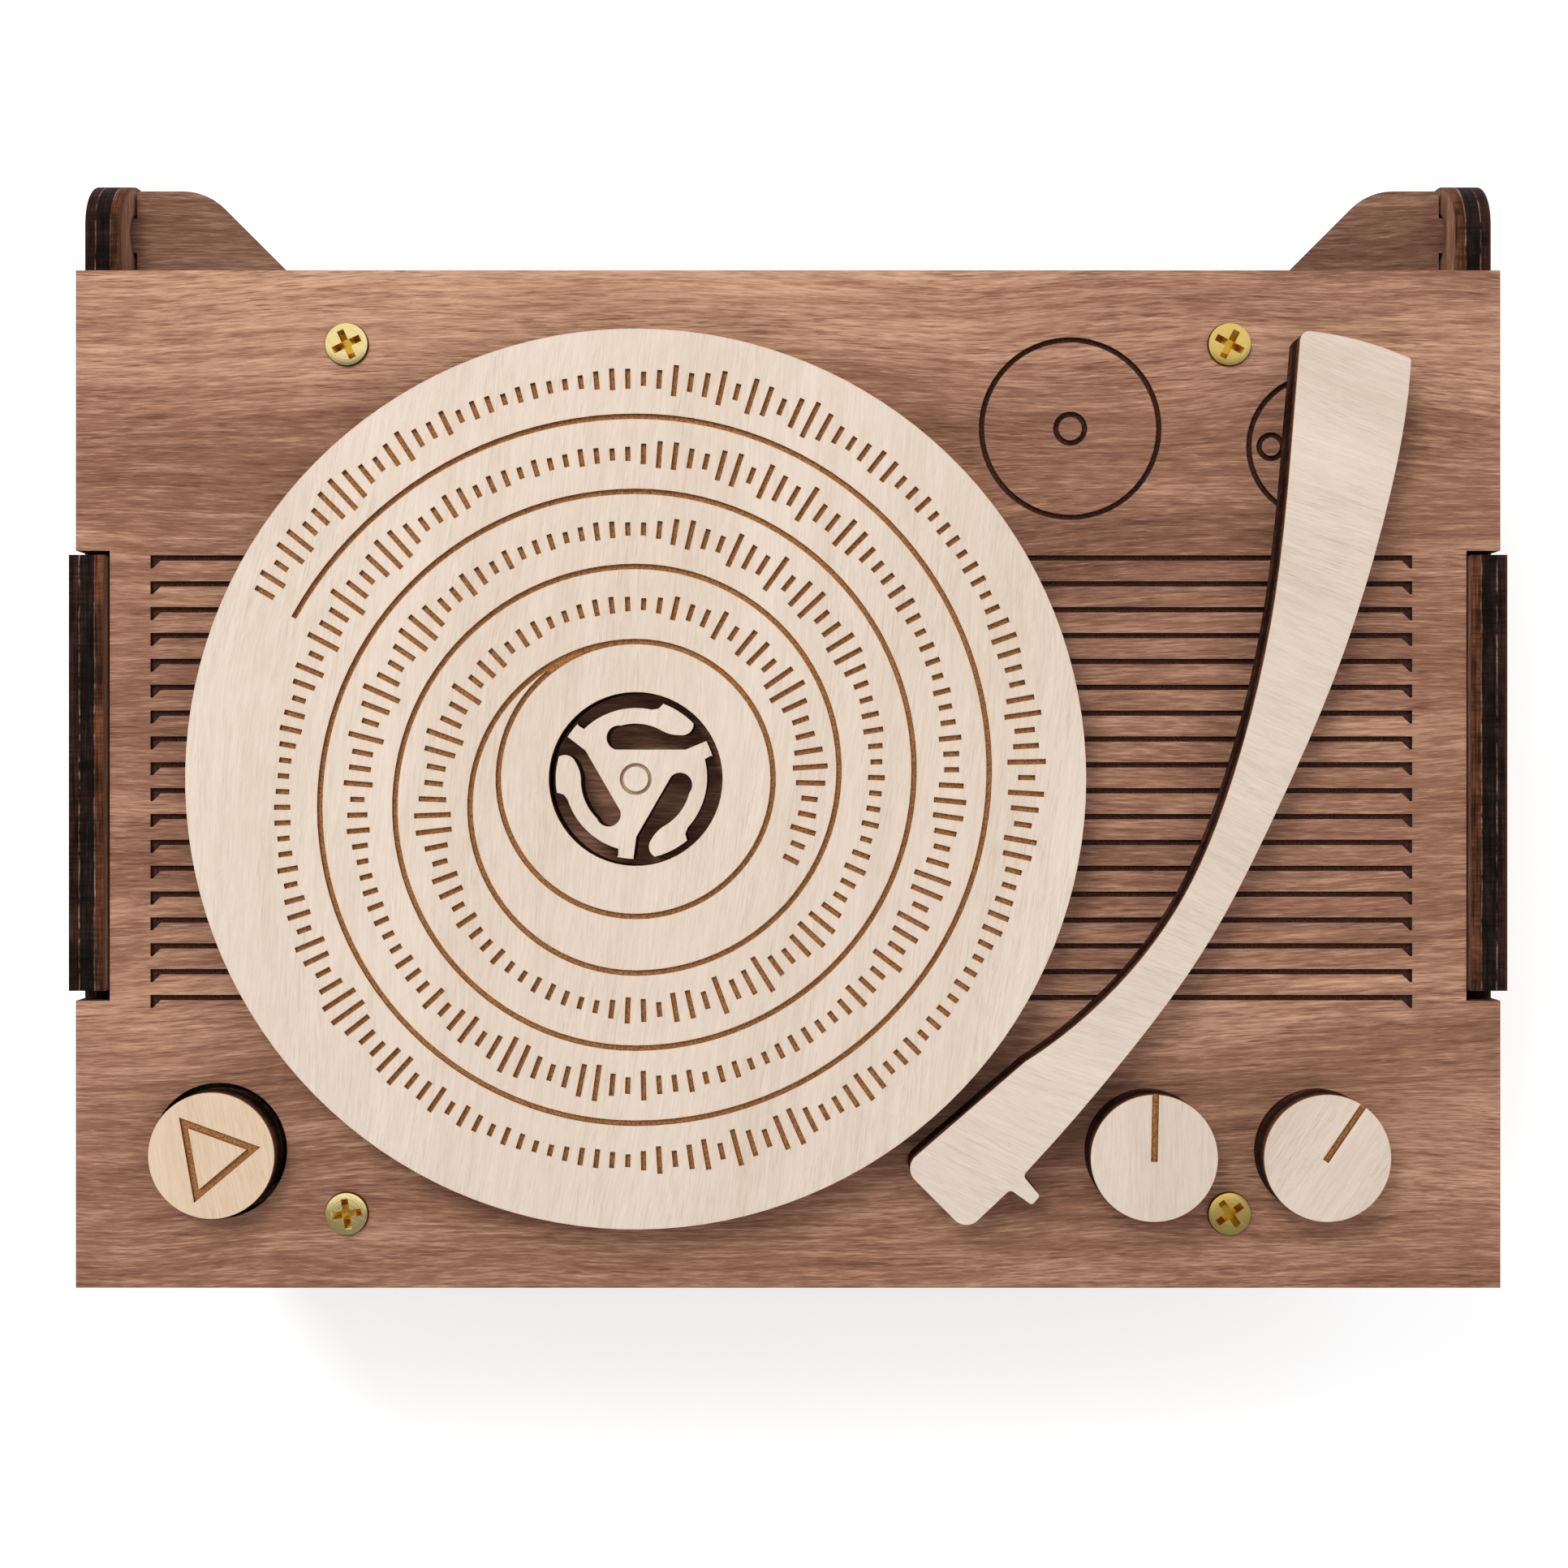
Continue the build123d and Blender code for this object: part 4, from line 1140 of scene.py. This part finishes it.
@dataclass
class Studio:
    """A white floor, soft light and a camera straight above the deck."""

    camera_at: Vector = field(default_factory=lambda: Vector((-0.36, -5.36, 190.1)) * MM)
    lens_mm: float = 39.48
    sensor_mm: float = 36.0
    clip: Range = (0.01, 20.0)
    floor_half: float = 3.0
    floor_drop_mm: float = 0.1
    floor_white: float = 0.82
    floor_roughness: float = 0.9
    floor_glow: float = 0.42
    dome_levels: Range = (0.494, 0.825)
    dome_reach: Range = (-0.7, 0.7)
    mirrored_levels: Range = (0.28, 1.0)
    mirrored_reach: Range = (-0.3, 0.2)
    lamp_target: Triple = (0.0, 0.0, 0.03)
    lamps: tuple[SquareLamp, ...] = (
        SquareLamp("window_lamp", (-0.2, 0.28, 0.42), 0.22, 1.46, (1.0, 0.985, 0.96)),
        SquareLamp("fill_lamp", (0.6, -0.2, 0.6), 0.6, 1.2, (0.97, 0.985, 1.0)),
    )

    def build(self) -> None:
        """Builds the floor, the dome of light, the lamps and the camera."""
        self._floor()
        self._dome()
        for lamp in self.lamps:
            self._hang(lamp)
        self._camera()
        bpy.context.scene.view_settings.view_transform = "Standard"
        log.info("studio: floor, dome, %d lamps and camera set", len(self.lamps))

    def _floor(self) -> None:
        """Lays the floor just under the object. It glows a little to every ray that sees it."""
        half = self.floor_half
        mesh = bpy.data.meshes.new("floor")
        corners = [(-half, -half, 0.0), (half, -half, 0.0), (half, half, 0.0), (-half, half, 0.0)]
        mesh.from_pydata(corners, [], [(0, 1, 2, 3)])
        floor = bpy.data.objects.new("floor", mesh)
        floor.location.z = -self.floor_drop_mm * MM
        bpy.context.scene.collection.objects.link(floor)
        surface = Surface("white_floor")
        graph = surface.graph
        rays = graph.add("ShaderNodeLightPath")
        seen = graph.math("MAXIMUM", rays.outputs["Is Camera Ray"], rays.outputs["Is Glossy Ray"])
        seen = graph.math("MAXIMUM", seen, rays.outputs["Is Transmission Ray"])
        glow = graph.math("MULTIPLY", seen, self.floor_glow)
        white = (self.floor_white,) * 3
        surface.set(Base_Color=white, Roughness=self.floor_roughness, Specular_IOR_Level=0.0)
        surface.set(Emission_Color=(1.0, 1.0, 1.0), Emission_Strength=glow)
        surface.dress(floor)

    def _dome(self) -> None:
        """Sets the world: a soft dome, dimmer at the front, white where it is seen."""
        world = bpy.data.worlds.new("soft_dome")
        bpy.context.scene.world = world
        world.use_nodes = True
        graph = Graph(world.node_tree)
        back = graph.parts(graph.add("ShaderNodeTexCoord").outputs["Generated"])[1]
        level = graph.span(back, *self.dome_reach, self.dome_levels)
        mirrored = graph.span(back, *self.mirrored_reach, self.mirrored_levels)
        rays = graph.add("ShaderNodeLightPath")
        seen = graph.math("MAXIMUM", rays.outputs["Is Camera Ray"], rays.outputs["Is Transmission Ray"])
        shares = {0: rays.outputs["Is Glossy Ray"], 2: level, 3: mirrored}
        unseen = graph.add("ShaderNodeMix", shares).outputs[0]
        background = world.node_tree.nodes["Background"]
        graph.feed(background.inputs["Color"], (1.0, 1.0, 1.0))
        graph.feed(background.inputs["Strength"], graph.math("MAXIMUM", unseen, seen))

    def _hang(self, lamp: SquareLamp) -> None:
        """Hangs a lamp. Mirrors see the dome in its place.

        Args:
            lamp: Lamp to hang.
        """
        data = bpy.data.lights.new(lamp.name, "AREA")
        data.shape = "SQUARE"
        data.size = lamp.side
        data.energy = lamp.watts
        data.color = lamp.colour
        hung = bpy.data.objects.new(lamp.name, data)
        hung.location = lamp.place
        aim = Vector(self.lamp_target) - Vector(lamp.place)
        hung.rotation_euler = aim.to_track_quat("-Z", "Y").to_euler()
        hung.visible_glossy = False
        bpy.context.scene.collection.objects.link(hung)

    def _camera(self) -> None:
        """Sets the camera, looking straight down with the back of the box at the top."""
        data = bpy.data.cameras.new("camera")
        data.lens = self.lens_mm
        data.sensor_width = self.sensor_mm
        data.clip_start, data.clip_end = self.clip
        camera = bpy.data.objects.new("camera", data)
        camera.location = self.camera_at
        bpy.context.scene.collection.objects.link(camera)
        bpy.context.scene.camera = camera


def main() -> None:
    """Builds and dresses the object, then the studio round it."""
    for part in (Box(), Lid(), Turntable(), Arm(), Controls(), SoundModule()):
        part.build()
        part.dress()
    Studio().build()


if __name__ == "__main__":
    main()
